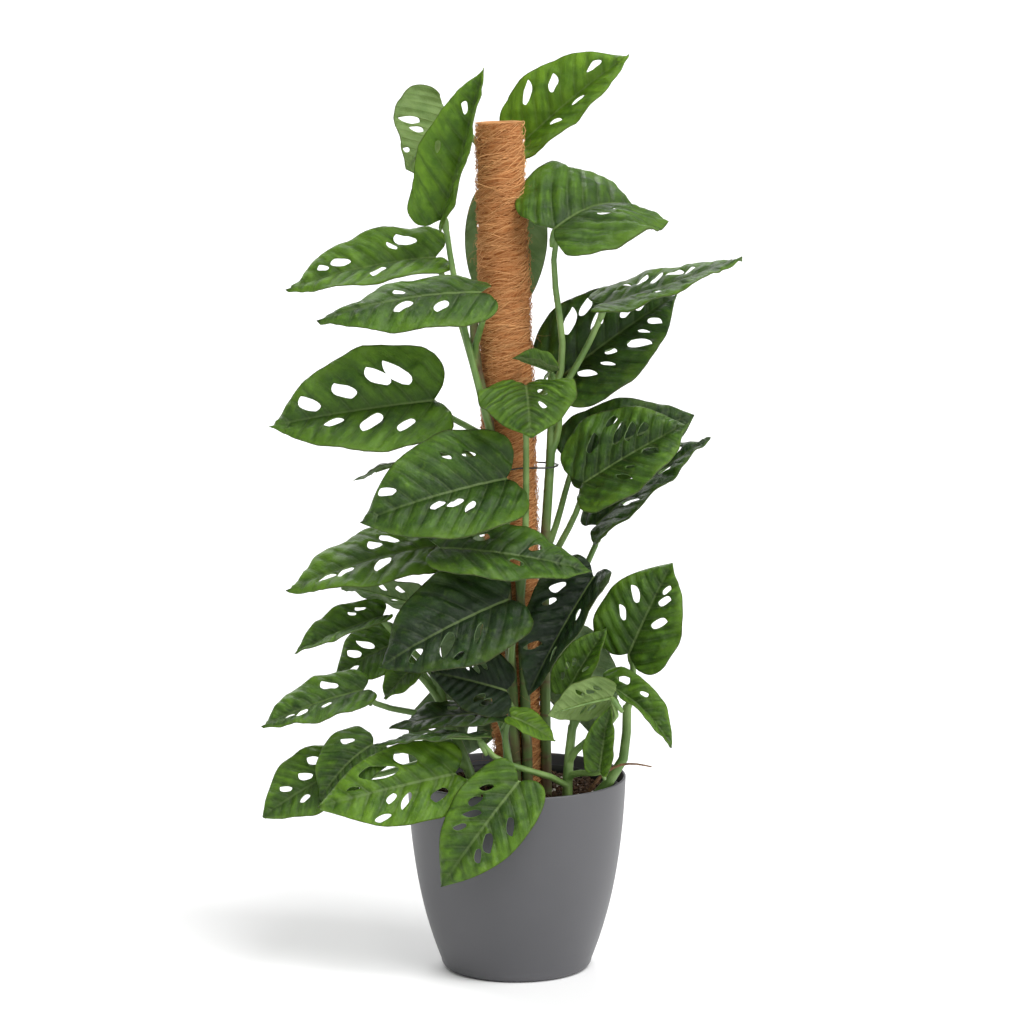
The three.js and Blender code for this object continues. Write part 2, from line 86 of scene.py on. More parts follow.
# ---- Fine detail ----

# How far the coir goes below the soil, and the height at which the soil's sides end: both stop
# short of the CAD pieces, where nothing shows.
COIR_BURIED = 0.012
SOIL_SKIN_FOOT = 0.17
TRIM_VOXEL = 0.0004
SOIL_LUMP = 0.0022
SOIL_GRAIN = 0.0008
NOISE_ROUGHNESS = 0.55
FLOOR_REACH = 900.0

# Holes: blades narrower than the first width (mm) get none by chance and those narrower than the
# second get fewer, the chance that a gap has one, and how far they stay from the midrib (mm).
SMALL_BLADE = 45
MIDDLING_BLADE = 70
HOLE_CHANCE = 0.62
RIB_CLEARANCE = 2.6

# Where each piece's random draws start.
SOIL_SEED = 11
COIR_SEED = 5
BLADE_SEED = 100
RELIEF_SEED = 200

# ---- Light and camera ----

# Name, the way it shines, its share of the key light's strength and its spread in degrees.
LIGHTS = (
    ("key_light", (-0.45, 0.6, -1.0), 1.0, 40),
    ("back_light", (0.3, -0.9, -0.8), 0.7, 50),
    ("side_light", (-0.93, 0.37, -0.3), 0.28, 14),
)
CAMERA_EYE = (-0.005, -4.0, 1.10)
CAMERA_AIM = (-0.005, 0, 0.505)
SENSOR_WIDTH = 36


# ---- The leaves ----

# Name, vine, run of the blade from base to tip (mm), width (mm), the way its upper face looks, fold
# of each half and bend of the midrib (degrees), freshness (0 deep green to 1 yellow green: partly the
# leaf's own youth, partly painted shade, set low for leaves deep inside the plant), how far it
# bulges between its side veins (mm).
LEAVES = [
    ("crown_right", "vine_back", (112, -17, 93), 105, (-35, -82, 45), 35, 12, 0.95, 1.6),
    ("crown_back", "vine_back", (-45, -52, -53), 118, (-20, 90, 35), 15, 25, 0.75, 1.8),
    ("crown_front", "vine_left", (44, -8, 160), 100, (-60, -75, 20), 48, -15, 0.8, 1.6),
    ("left_high", "vine_left", (-160, -12, -34), 92, (0, -58, 82), 18, 20, 0.7, 1.8),
    ("left_fore", "vine_left", (-173, -20, -29), 86, (0, -55, 85), -12, 25, 0.4, 1.6),
    ("left_mid", "vine_left", (-177, -20, -26), 138, (-5, -80, 55), 22, 12, 0.5, 2.4),
    ("centre_left", "vine_left", (-156, -28, -43), 130, (-5, -85, 47), 18, 30, 0.3, 2.8),
    ("left_peek", "vine_back", (-124, -28, -30), 66, (-20, 20, 95), 10, 20, 0.1, 1.4),
    ("front_small", "vine_front", (5, -60, -50), 106, (0, -67, 74), 5, 65, 0.6, 1.6),
    ("curl_small", "vine_right", (-44, -7, 14), 35, (0, -40, 90), 50, 10, 0.5, 0.8),
    ("right_mid", "vine_right", (126, 9, 89), 132, (-30, -85, 44), 18, 12, 0.2, 2.2),
    ("right_long", "vine_right", (148, -6, 51), 92, (-30, -22, 92), 8, -8, 0.4, 1.6),
    ("right_high", "vine_right", (105, 112, -5), 156, (-32, -76, 56), 12, 88, 0.45, 3.0),
    ("right_low_fore", "vine_right", (113, -15, 68), 126, (-34, -73, 59), 20, 12, 0.3, 2.2),
    ("right_low_back", "vine_right", (131, 20, 48), 100, (-15, -85, 50), 10, 15, 0.15, 1.6),
    ("right_low_under", "vine_right", (123, 0, 95), 95, (-55, -42, 72), 15, 15, 0.15, 1.8),
    ("right_bottom", "vine_low_rim", (46, -15, 103), 105, (-30, -88, 35), 15, 12, 0.4, 1.8),
    ("centre_dark", "vine_right", (-71, -28, -126), 104, (-57, -77, 30), 40, 15, 0.0, 1.8),
    ("centre_band", "vine_front", (161, 10, -28), 85, (5, -60, 80), 10, 20, 0.3, 1.8),
    ("left_low_a", "vine_left", (-164, -24, -46), 100, (-10, -45, 88), 6, 20, 0.6, 2.0),
    ("left_low_b", "vine_low_left", (-85, -19, 24), 72, (-10, 50, 85), 10, 15, 0.3, 1.2),
    ("left_low_c", "vine_low_left", (-94, -20, -37), 60, (-30, -50, 80), 28, 15, 0.45, 1.2),
    ("left_low_d", "vine_low_left", (-68, -13, -33), 75, (-10, -70, 70), 10, 15, 0.45, 1.4),
    ("centre_big", "vine_left", (-136, -34, -67), 121, (-26, -82, 51), 12, 25, 0.1, 2.4),
    ("left_bottom_a", "vine_low_left", (-109, -25, -35), 68, (-20, -52, 82), 12, 18, 0.4, 1.4),
    ("left_bottom_b", "vine_low_left", (-58, -24, -60), 74, (-35, -80, 40), 8, 70, 0.35, 1.4),
    ("left_bottom_c", "vine_low_left", (-86, -27, -48), 84, (-40, -78, 45), 12, 25, 0.5, 1.6),
    ("left_bottom_d", "vine_low_front", (-145, -41, -27), 92, (0, -88, 46), 4, 14, 0.8, 1.6),
    ("pot_drape", "vine_low_front", (-83, -25, -109), 90, (-10, -90, 35), 10, 25, 0.5, 1.8),
    ("right_droop", "vine_low_right", (71, -32, -64), 54, (40, -60, 60), 42, 50, 0.5, 1.0),
    ("right_pale", "vine_low_right", (-69, -10, -18), 60, (0, 80, 50), 10, 15, 1.0, 1.0),
    ("right_pale_small", "vine_low_front", (48, -4, -26), 36, (0, -50, 85), 15, 20, 1.0, 0.8),
    ("centre_under", "vine_front", (-81, -16, 23), 80, (0, -80, 60), 10, 15, 0.0, 1.4),
    ("low_left_e", "vine_low_front", (-118, -16, -14), 66, (0, -30, 95), 8, 20, 0.1, 1.4),
    ("low_left_f", "vine_low_right", (-113, -18, -5), 56, (0, 10, 98), 6, 15, 0.2, 1.2),
    ("mid_left_small", "vine_low_left", (-32, -10, -32), 42, (-20, -60, 70), 15, 15, 0.5, 0.8),
    ("right_fold", "vine_low_right", (43, 3, 70), 54, (-40, -80, 30), 35, 10, 0.5, 0.8),
    ("right_inner", "vine_low_right", (11, -8, 70), 42, (-40, -80, 30), 30, 10, 0.5, 0.8),
    ("back_high", "vine_back", (-5, 14, -148), 92, (0, 95, 20), 10, 20, 0.3, 1.8),
    ("back_right_mid", "vine_back", (100, 63, 31), 92, (10, 60, 75), 12, 20, 0.4, 1.8),
    ("back_left_mid", "vine_back", (-94, 66, -29), 92, (-20, 50, 80), 12, 25, 0.15, 1.8),
    ("back_centre", "vine_back", (-73, 70, -61), 92, (-20, 60, 75), 12, 25, 0.1, 1.8),
    ("back_low", "vine_back", (-16, 76, -164), 128, (0, 90, 25), 12, 25, 0.05, 2.0),
    ("back_low_right", "vine_back", (61, 43, -129), 104, (25, 88, 35), 12, 22, 0.05, 1.6),
    ("back_bottom", "vine_back", (-92, 46, -113), 112, (-25, 85, 38), 10, 25, 0.1, 1.8),
]

# Holes of the leaves that show theirs best: the gap between side veins that a hole lies in, counted
# from the base, its distance from the midrib and half its length as shares of the blade's width
# (below 0 on the right of the midrib), and half its own width as a share of the gap.
HOLES = {
    "right_mid": [
        (0, 0.33, 0.11, 0.36), (1, 0.36, 0.09, 0.34), (2, 0.18, 0.08, 0.34), (4, 0.13, 0.07, 0.32),
        (5, 0.10, 0.05, 0.26), (5, -0.12, 0.06, 0.22), (4, -0.15, 0.06, 0.12), (3, -0.23, 0.11, 0.34),
        (2, -0.12, 0.06, 0.2), (1, -0.21, 0.07, 0.12), (0, -0.16, 0.10, 0.23),
    ],
    "left_mid": [
        (3, -0.17, 0.09, 0.4), (1, -0.24, 0.10, 0.4), (0, -0.25, 0.13, 0.38), (5, -0.11, 0.08, 0.36),
        (4, 0.11, 0.06, 0.36), (2, 0.17, 0.11, 0.38), (0, 0.26, 0.08, 0.3),
    ],
    "right_low_fore": [
        (0, 0.25, 0.08, 0.36), (2, 0.22, 0.1, 0.38), (1, 0.36, 0.05, 0.3), (3, 0.17, 0.08, 0.32),
        (4, 0.13, 0.06, 0.31), (4, -0.11, 0.09, 0.36), (2, -0.19, 0.06, 0.16), (1, -0.25, 0.09, 0.2),
    ],
    "right_low_under": [
        (0, 0.27, 0.11, 0.4), (2, 0.18, 0.08, 0.37), (1, -0.26, 0.14, 0.2), (4, -0.13, 0.07, 0.3),
        (5, 0.11, 0.07, 0.4),
    ],
    "right_bottom": [
        (1, 0.24, 0.08, 0.3), (3, 0.2, 0.09, 0.36), (4, -0.14, 0.08, 0.34), (2, -0.2, 0.1, 0.36),
        (5, -0.1, 0.05, 0.3),
    ],
    "left_high": [
        (0, -0.28, 0.11, 0.4), (1, -0.2, 0.07, 0.16), (4, -0.13, 0.08, 0.38), (5, -0.11, 0.05, 0.22),
        (2, 0.2, 0.1, 0.3),
    ],
    "left_fore": [
        (3, -0.14, 0.06, 0.22), (3, 0.13, 0.09, 0.36), (1, 0.2, 0.09, 0.27), (5, -0.12, 0.06, 0.19),
    ],
    "centre_left": [
        (5, -0.16, 0.06, 0.34), (3, 0.11, 0.05, 0.31), (1, -0.29, 0.05, 0.12), (2, 0.14, 0.05, 0.34),
        (0, -0.26, 0.04, 0.26), (1, 0.22, 0.07, 0.2),
    ],
    "left_low_a": [
        (1, -0.24, 0.09, 0.33), (2, -0.18, 0.07, 0.26), (4, 0.13, 0.09, 0.32), (2, 0.17, 0.12, 0.31),
        (5, 0.11, 0.05, 0.36),
    ],
    "left_low_b": [
        (5, 0.1, 0.06, 0.36), (3, -0.2, 0.1, 0.36), (3, 0.14, 0.09, 0.36), (1, -0.2, 0.08, 0.4),
        (1, 0.22, 0.09, 0.36),
    ],
    "left_low_d": [(4, -0.12, 0.12, 0.5), (2, -0.18, 0.14, 0.44), (5, 0.12, 0.08, 0.6)],
    "centre_big": [
        (1, 0.22, 0.1, 0.2), (3, 0.18, 0.13, 0.34), (5, 0.12, 0.07, 0.34), (2, 0.33, 0.04, 0.26),
    ],
    "left_bottom_a": [
        (4, 0.14, 0.1, 0.36), (2, 0.17, 0.07, 0.3), (1, -0.24, 0.12, 0.44), (5, 0.1, 0.05, 0.3),
    ],
    "left_bottom_b": [(0, -0.27, 0.09, 0.4)],
    "left_bottom_c": [
        (0, -0.26, 0.1, 0.4), (2, -0.14, 0.08, 0.4), (4, -0.13, 0.07, 0.33), (3, 0.16, 0.06, 0.36),
    ],
    "left_bottom_d": [
        (3, -0.22, 0.11, 0.85), (5, 0.15, 0.09, 0.8), (5, -0.1, 0.03, 0.3), (3, 0.13, 0.07, 0.22),
        (3, 0.33, 0.06, 0.36), (2, 0.2, 0.11, 0.2), (1, -0.3, 0.12, 0.42), (0, 0.22, 0.1, 0.4),
    ],
    "centre_band": [(1, 0.2, 0.09, 0.3), (3, -0.17, 0.08, 0.26), (4, 0.13, 0.06, 0.24)],
    "crown_back": [(1, 0.26, 0.15, 0.4), (2, 0.14, 0.08, 0.31), (5, 0.1, 0.05, 0.3)],
    "crown_right": [
        (0, 0.34, 0.12, 0.3), (2, 0.24, 0.09, 0.27), (1, -0.2, 0.1, 0.22), (3, -0.15, 0.08, 0.34),
        (5, 0.12, 0.04, 0.4),
    ],
    "crown_front": [(2, 0.29, 0.05, 0.23), (5, 0.1, 0.05, 0.25), (1, -0.22, 0.08, 0.3)],
    "front_small": [(1, 0.15, 0.06, 0.4), (3, 0.14, 0.05, 0.26)],
    "right_high": [(1, -0.16, 0.05, 0.12), (2, -0.16, 0.04, 0.15), (5, 0.14, 0.06, 0.2)],
}

# Shape of every blade: how far the lobes reach behind its base as a share of its length, gaps
# between side veins on each half, and how much those veins curve forward.
LOBE = 0.09
VEIN_GAPS = 8
VEIN_CURVE = 0.35
OUTLINE_STEPS = (10, 16, 30)
CAD_STEPS = (2, 3, 5)
CAD_THICKNESS = 1.1


def bezier(points, steps):
    """Points along one cubic curve, without its first."""
    t = np.linspace(0, 1, steps + 1)[1:, None]
    a, b, c, d = (np.array(p, float) for p in points)
    return (1 - t) ** 3 * a + 3 * (1 - t) ** 2 * t * b + 3 * (1 - t) * t**2 * c + t**3 * d


def half_outline(length, width, steps):
    """One half of a blade's outline, from its base round the lobe to its tip."""
    lobe = -LOBE * length
    back, side, tip = (lobe, 0.24 * width), (0.3 * length, 0.5 * width), (length, 0)
    arcs = (
        ((0, 0), (lobe / 3, 0.04 * width), (lobe, 0.1 * width), back),
        (back, (lobe, 0.4 * width), (0.1 * length, 0.5 * width), side),
        (side, (0.68 * length, 0.5 * width), (0.86 * length, 0.16 * width), tip),
    )
    return np.vstack([[(0, 0)], *(bezier(arc, n) for arc, n in zip(arcs, steps))])


def unit(v):
    """A vector's direction, one long."""
    return v / np.linalg.norm(v)


class Blade:
    """The bent and folded middle surface of one leaf, in mm along it (x) and across it (y)."""

    def __init__(self, name, run, width, face, fold, bend, fresh, bulge):
        self.name = name
        self.width = width
        self.fold = math.radians(fold)
        self.half_bend = math.radians(bend) / 2
        self.fresh = fresh
        self.bulge = bulge
        self.chord = unit(np.array(run, float))
        facing = np.array(face, float)
        self.facing = unit(facing - facing.dot(self.chord) * self.chord)
        self.aside = np.cross(self.facing, self.chord)
        self.length = math.dist(run, (0, 0, 0)) * self.half_bend / math.sin(self.half_bend)
        self.turn = 2 * self.half_bend / self.length
        self.scale = MM
        self.base = np.zeros(3)
        self.fit(*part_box(name))
        self.edge = half_outline(self.length, width, OUTLINE_STEPS)
        self.gap = self.length / VEIN_GAPS
        self.lean = bpy.context.scene.monstera_leaf.vein_lean

    def fit(self, low, high):
        """Moves and scales the blade so that it fills its CAD leaf's box."""
        edge = half_outline(self.length, self.width, CAD_STEPS)
        rib = [(self.length * k / 4, 0) for k in (1, 2, 3)]
        x, y = np.vstack([edge, edge * (1, -1), rib]).T
        lift = CAD_THICKNESS / 2
        solid = np.vstack([self.place(x, y, lift), self.place(x, y, -lift)])
        mine = solid.max(0) - solid.min(0)
        grow = (high - low).length / np.linalg.norm(mine)
        self.base = np.array(low + high) / 2 - grow * (solid.max(0) + solid.min(0)) / 2
        self.scale = MM * grow

    def heading(self, x):
        """Direction of the midrib and of the upper face, x along the midrib."""
        angle = self.half_bend - self.turn * np.maximum(x, 0)
        along = np.outer(np.cos(angle), self.chord) + np.outer(np.sin(angle), self.facing)
        out = np.outer(np.cos(angle), self.facing) - np.outer(np.sin(angle), self.chord)
        return angle, along, out

    def place(self, x, y, lift):
        """Points in metres for points of the blade, lifted off its middle surface."""
        x, y = np.asarray(x, float), np.asarray(y, float)
        angle, along, out = self.heading(x)
        spot = np.outer((math.sin(self.half_bend) - np.sin(angle)) / self.turn, self.chord)
        spot += np.outer((np.cos(angle) - math.cos(self.half_bend)) / self.turn, self.facing)
        spot += np.minimum(x, 0)[:, None] * along
        spot += np.outer(y * math.cos(self.fold), self.aside)
        spot += (np.abs(y) * math.sin(self.fold) + lift)[:, None] * out
        return self.base + self.scale * spot

    def half_width(self, x):
        """Half the blade's width x along the midrib."""
        ahead = self.edge[self.edge[:, 1].argmax() :]
        behind = self.edge[: self.edge[:, 1].argmax() + 1]
        back = np.interp(x, behind[OUTLINE_STEPS[0] :, 0], behind[OUTLINE_STEPS[0] :, 1])
        front = np.interp(x, ahead[:, 0], ahead[:, 1])
        return np.maximum(np.where(x < ahead[0, 0], back, front), 0.5)

    def vein_count(self, x, y):
        """Side veins passed between the base and a point: whole on a vein, a half between two."""
        y = np.abs(y)
        return (x - y / math.tan(self.lean) - VEIN_CURVE * y**2 / self.width) / self.gap

    def hole(self, gap, away, half_length, half_width):
        """The rim of one hole, or None where it doesn't fit inside the blade."""
        turn = np.linspace(0, 2 * math.pi, 22, endpoint=False)
        side = math.copysign(1, away)
        for shrink in (1, 0.8, 0.6, 0.45):
            reach = half_length * self.width * math.sin(self.lean) * shrink
            y = abs(away) * self.width + reach * np.cos(turn)
            swell = np.sin(turn) * np.abs(np.sin(turn)) ** 0.7 * (1 - 0.25 * np.cos(turn))
            count = gap + 0.5 + 1.3 * half_width * swell
            x = count * self.gap + y / math.tan(self.lean) + VEIN_CURVE * y**2 / self.width
            clear = y.min() > RIB_CLEARANCE and x.max() < 0.9 * self.length
            if clear and np.all(y < 0.9 * self.half_width(x)):
                return np.column_stack([x, side * y])
        return None

    def holes(self, dice):
        """Rims of all the blade's holes, from its own list or scattered by chance."""
        rows = HOLES.get(self.name)
        if rows is None:
            count = 0 if self.width < SMALL_BLADE else 3 if self.width < MIDDLING_BLADE else 5
            rows = [
                (
                    gap,
                    side * dice.uniform(0.15, 0.2) * (1.5 - 0.12 * gap),
                    dice.uniform(0.06, 0.11),
                    dice.uniform(0.2, 0.38),
                )
                for gap in range(count)
                for side in (1, -1)
                if dice.random() < HOLE_CHANCE
            ]
        return [rim for rim in (self.hole(*row) for row in rows) if rim is not None]

    def relief(self, x, y, dice):
        """How far the real leaf stands off its smooth middle surface, in mm."""
        leaf = bpy.context.scene.monstera_leaf
        share = np.clip(np.abs(y) / self.half_width(x), 0, 1)
        hump = np.sin(math.pi * np.clip(share, 0, 1)) ** 0.7
        quilt = self.bulge * np.abs(np.sin(math.pi * self.vein_count(x, y))) ** 0.8 * hump
        quilt *= np.clip((self.length - x) / (0.25 * self.length), 0, 1)
        start = dice.uniform(0, 2 * math.pi, 4)
        spots = [Vector((a, b, float(start[2]) * 90)) for a, b in zip(x, y)]
        quilt *= 1.2 + np.array([noise.noise(spot / 30) for spot in spots])
        ripple = np.where(
            y > 0,
            np.sin(2 * math.pi * x / (0.45 * self.length) + start[0]),
            np.sin(2 * math.pi * x / (0.38 * self.length) + start[1]),
        )
        wave = leaf.wave / MM * (self.width / 100) * share**2 * ripple
        sway = 0.02 * self.width * share * np.where(
            y > 0,
            np.sin(math.pi * x / self.length + start[2]),
            np.sin(math.pi * x / self.length + start[3]),
        )
        droop = -0.035 * self.width * share**2
        crumple = np.array([noise.noise(spot / 18) + 0.45 * noise.noise(spot / 8) for spot in spots])
        crumple *= leaf.crumple / MM * np.clip(share * 4, 0, 1)
        groove = -leaf.groove / MM * np.exp(-((y / 1.9) ** 2))
        groove *= np.clip(1 - x / self.length, 0, 1) ** 0.5
        return quilt + wave + sway + droop + groove + crumple


def inside(points, ring):
    """Which points lie inside a closed ring."""
    x, y = points[:, 0:1], points[:, 1:2]
    x1, y1 = ring[:, 0], ring[:, 1]
    x2, y2 = np.roll(x1, -1), np.roll(y1, -1)
    spans = (y1 > y) != (y2 > y)
    with np.errstate(divide="ignore", invalid="ignore"):
        crossing = x < (x2 - x1) * (y - y1) / (y2 - y1) + x1
    return (spans & crossing).sum(1) % 2 == 1


def cut_blade(blade, dice):
    """Flat points and triangles of a blade, with its midrib as a crease and its holes open."""
    grain = float(np.clip(blade.length / 46, 2.0, 3.4))
    edge = blade.edge
    outline = np.vstack([edge, (edge * (1, -1))[-2:0:-1]])
    rims = blade.holes(dice)
    count = int(blade.length / grain)
    rib = np.column_stack([np.linspace(0, blade.length, count + 1)[1:-1], np.zeros(count - 1)])
    across = np.arange(-0.5 * blade.width, 0.5 * blade.width, grain)
    along = np.arange(-LOBE * blade.length, blade.length, grain)
    grid = np.array([(x + (k % 2) * grain / 2, y) for k, y in enumerate(across) for x in along])
    grid += dice.uniform(-0.12, 0.12, grid.shape) * grain
    keep = inside(grid, outline) & (np.abs(grid[:, 1]) > 0.5 * grain)
    for rim in rims:
        keep &= ~inside(grid, rim)
    grid = grid[keep]
    borders = np.vstack([outline, *rims])
    near = np.min(np.hypot(*(grid[:, None] - borders[None]).transpose(2, 0, 1)), axis=1)
    grid = grid[near > 0.5 * grain]
    points = np.vstack([outline, rib, *rims, grid])
    loops = [np.arange(len(outline))]
    first = len(outline) + len(rib)
    for rim in rims:
        loops.append(np.arange(first, first + len(rim)))
        first += len(rim)
    edges = [(int(a), int(b)) for loop in loops for a, b in zip(loop, np.roll(loop, -1))]
    tip = len(edge) - 1
    spine = [0, *range(len(outline), len(outline) + len(rib)), tip]
    edges += list(zip(spine[:-1], spine[1:]))
    made = delaunay_2d_cdt([Vector(p) for p in points], edges, [], 0, 1e-4)
    flat = np.array([tuple(p) for p in made[0]])
    faces = np.array([f for f in made[2] if len(f) == 3])
    middle = flat[faces].mean(1)
    keep = inside(middle, outline)
    for rim in rims:
        keep &= ~inside(middle, rim)
    faces = faces[keep]
    a, b, c = (flat[faces[:, k]] for k in range(3))
    spin = (b[:, 0] - a[:, 0]) * (c[:, 1] - a[:, 1]) - (b[:, 1] - a[:, 1]) * (c[:, 0] - a[:, 0])
    faces[spin < 0] = faces[spin < 0][:, ::-1]
    used = np.unique(faces)
    new = np.zeros(len(flat), int)
    new[used] = np.arange(len(used))
    return flat[used], new[faces[np.abs(spin) > 1e-6]]


# ---- Meshes ----


def mesh_piece(name, points, faces, marks=None, smooth=True):
    """A new mesh object with its points, faces and named point marks (a number or a triple each)."""
    mesh = bpy.data.meshes.new(name)
    mesh.from_pydata([tuple(p) for p in points], [], [tuple(int(i) for i in f) for f in faces])
    for mark, values in (marks or {}).items():
        values = np.asarray(values, np.float32)
        kind, field = ("FLOAT", "value") if values.ndim == 1 else ("FLOAT_VECTOR", "vector")
        mesh.attributes.new(mark, kind, "POINT").data.foreach_set(field, values.ravel())
    if smooth:
        mesh.shade_smooth()
    mesh.update()
    piece = bpy.data.objects.new(name, mesh)
    bpy.context.scene.collection.objects.link(piece)
    return piece


def keep_piece(piece, slot, finishes, *nodes):
    """Gives a piece its finishes and its place on the plant; its slot is not used."""
    for finish in finishes:
        piece.data.materials.append(finish)
    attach(piece, "root")
    if nodes:
        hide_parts(*nodes)


def bands(rings, sides, first=0, closed=False):
    """Faces between rings of points that follow each other, from the point numbered first."""
    k = np.arange(sides)
    after = (k + 1) % sides
    faces = []
    for i in range(rings if closed else rings - 1):
        a, b = first + i * sides, first + (i + 1) % rings * sides
        faces += np.column_stack([a + k, a + after, b + after, b + k]).tolist()
    return faces


class Rods:
    """Collects bent round rods, each with one mark, and makes them one mesh."""

    def __init__(self):
        self.points = []
        self.faces = []
        self.marks = []
        self.count = 0

    def add(self, path, radii, mark, sides=8):
        path = np.asarray(path, float)
        radii = np.broadcast_to(radii, len(path)).astype(float)
        ahead = np.gradient(path, axis=0)
        ahead /= np.linalg.norm(ahead, axis=1)[:, None] + 1e-12
        across = unit(np.cross(ahead[0], (0.31, 0.17, 0.93)))
        turn = np.linspace(0, 2 * math.pi, sides, endpoint=False)
        for spot, way, radius in zip(path, ahead, radii):
            across = unit(across - across.dot(way) * way)
            other = np.cross(way, across)
            ring = np.outer(np.cos(turn), across) + np.outer(np.sin(turn), other)
            self.points.append(spot + radius * ring)
        first = self.count
        rings = len(path)
        self.faces += bands(rings, sides, first)
        self.faces.append(list(range(first + sides - 1, first - 1, -1)))
        last = first + (rings - 1) * sides
        self.faces.append(list(range(last, last + sides)))
        self.count += rings * sides
        self.marks.append(np.full(rings * sides, mark))

    def piece(self, name):
        return mesh_piece(name, np.vstack(self.points), self.faces, {"tone": np.hstack(self.marks)})


def turned(name, profile, sides):
    """A body turned about Z from points (radius, height), listed from the bottom up outside."""
    profile = np.array(profile, float)
    turn = np.linspace(0, 2 * math.pi, sides, endpoint=False)
    rings = [
        np.column_stack([r * np.cos(turn), r * np.sin(turn), np.full(sides, z)]) for r, z in profile
    ]
    faces = bands(len(profile), sides)
    last = (len(profile) - 1) * sides
    faces.append(list(range(sides - 1, -1, -1)))
    faces.append(list(range(last, last + sides)))
    return mesh_piece(name, np.vstack(rings), faces)


# ---- Finishes ----


def shade(red, green, blue):
    """A screen colour of 0 to 255 as the linear colour that a shader takes."""
    parts = [c / 255 for c in (red, green, blue)]
    return tuple(c / 12.92 if c < 0.04045 else ((c + 0.055) / 1.055) ** 2.4 for c in parts)


class Value:
    """One output of a finish's nodes, so that shader maths reads as an expression."""

    def __init__(self, finish, socket):
        self.finish = finish
        self.socket = socket

    def math(self, operation, *others, **settings):
        inputs = dict(enumerate((self, *others)))
        return self.finish.node("ShaderNodeMath", {"operation": operation, **settings}, inputs)

    def __add__(self, other):
        return self.math("ADD", other)

    __radd__ = __add__

    def __mul__(self, other):
        return self.math("MULTIPLY", other)

    __rmul__ = __mul__

    def __sub__(self, other):
        return self.math("SUBTRACT", other)

    def __rsub__(self, other):
        return self.finish.node("ShaderNodeMath", {"operation": "SUBTRACT"}, {0: other, 1: self})

    def clamped(self):
        return self.math("ADD", 0.0, use_clamp=True)

    def step(self, low, high):
        """0 below low, 1 above high and a smooth rise between."""
        return self.finish.node(
            "ShaderNodeMapRange",
            {"interpolation_type": "SMOOTHSTEP"},
            {"Value": self, "From Min": low, "From Max": high},
        )


class Finish:
    """A material under construction."""

    def __init__(self, name):
        self.material = bpy.data.materials.new(name)
        self.material.use_nodes = True
        self.tree = self.material.node_tree
        self.tree.nodes.clear()

    def node(self, kind, settings=None, inputs=None, output=0):
        made = self.tree.nodes.new(kind)
        for key, value in (settings or {}).items():
            setattr(made, key, value)
        for key, value in (inputs or {}).items():
            if isinstance(value, Value):
                self.tree.links.new(value.socket, made.inputs[key])
            else:
                held = made.inputs[key].default_value
                if hasattr(held, "__len__") and len(held) == 4 and len(value) == 3:
                    value = (*value, 1.0)
                made.inputs[key].default_value = value
        return Value(self, made.outputs[output]) if made.outputs else None

    def mark(self, name, output="Fac"):
        return self.node("ShaderNodeAttribute", {"attribute_name": name}, output=output)

    def parts(self, vector):
        return [self.node("ShaderNodeSeparateXYZ", None, {0: vector}, output=k) for k in range(3)]

    def place(self):
        return self.node("ShaderNodeTexCoord", output="Object")

    def noise(self, vector, scale, detail):
        inputs = {"Vector": vector, "Scale": scale, "Detail": detail, "Roughness": NOISE_ROUGHNESS}
        return self.node("ShaderNodeTexNoise", None, inputs, output="Fac")

    def stretch(self, vector, amounts):
        return self.node("ShaderNodeVectorMath", {"operation": "MULTIPLY"}, {0: vector, 1: amounts})

    def blend(self, amount, first, second):
        """A colour between two colours."""
        inputs = {0: amount, 6: first, 7: second}
        return self.node("ShaderNodeMix", {"data_type": "RGBA"}, inputs, output=2)

    def bump(self, height, distance, strength):
        inputs = {"Height": height, "Distance": distance, "Strength": strength}
        return self.node("ShaderNodeBump", None, inputs)

    def principled(self, **inputs):
        named = {key.replace("_", " "): value for key, value in inputs.items()}
        return self.node("ShaderNodeBsdfPrincipled", None, named)

    def skin(self, colour, rough, height, depth, strength, specular=0.5):
        """A plain glossy or matt skin with a bumped surface."""
        return self.principled(
            Base_Color=colour,
            Roughness=rough,
            Specular_IOR_Level=specular,
            Normal=self.bump(height, depth, strength),
        )

    def mix(self, amount, first, second):
        """A surface between two surfaces."""
        return self.node("ShaderNodeMixShader", None, {0: amount, 1: first, 2: second})

    def done(self, surface):
        self.node("ShaderNodeOutputMaterial", inputs={"Surface": surface})
        return self.material


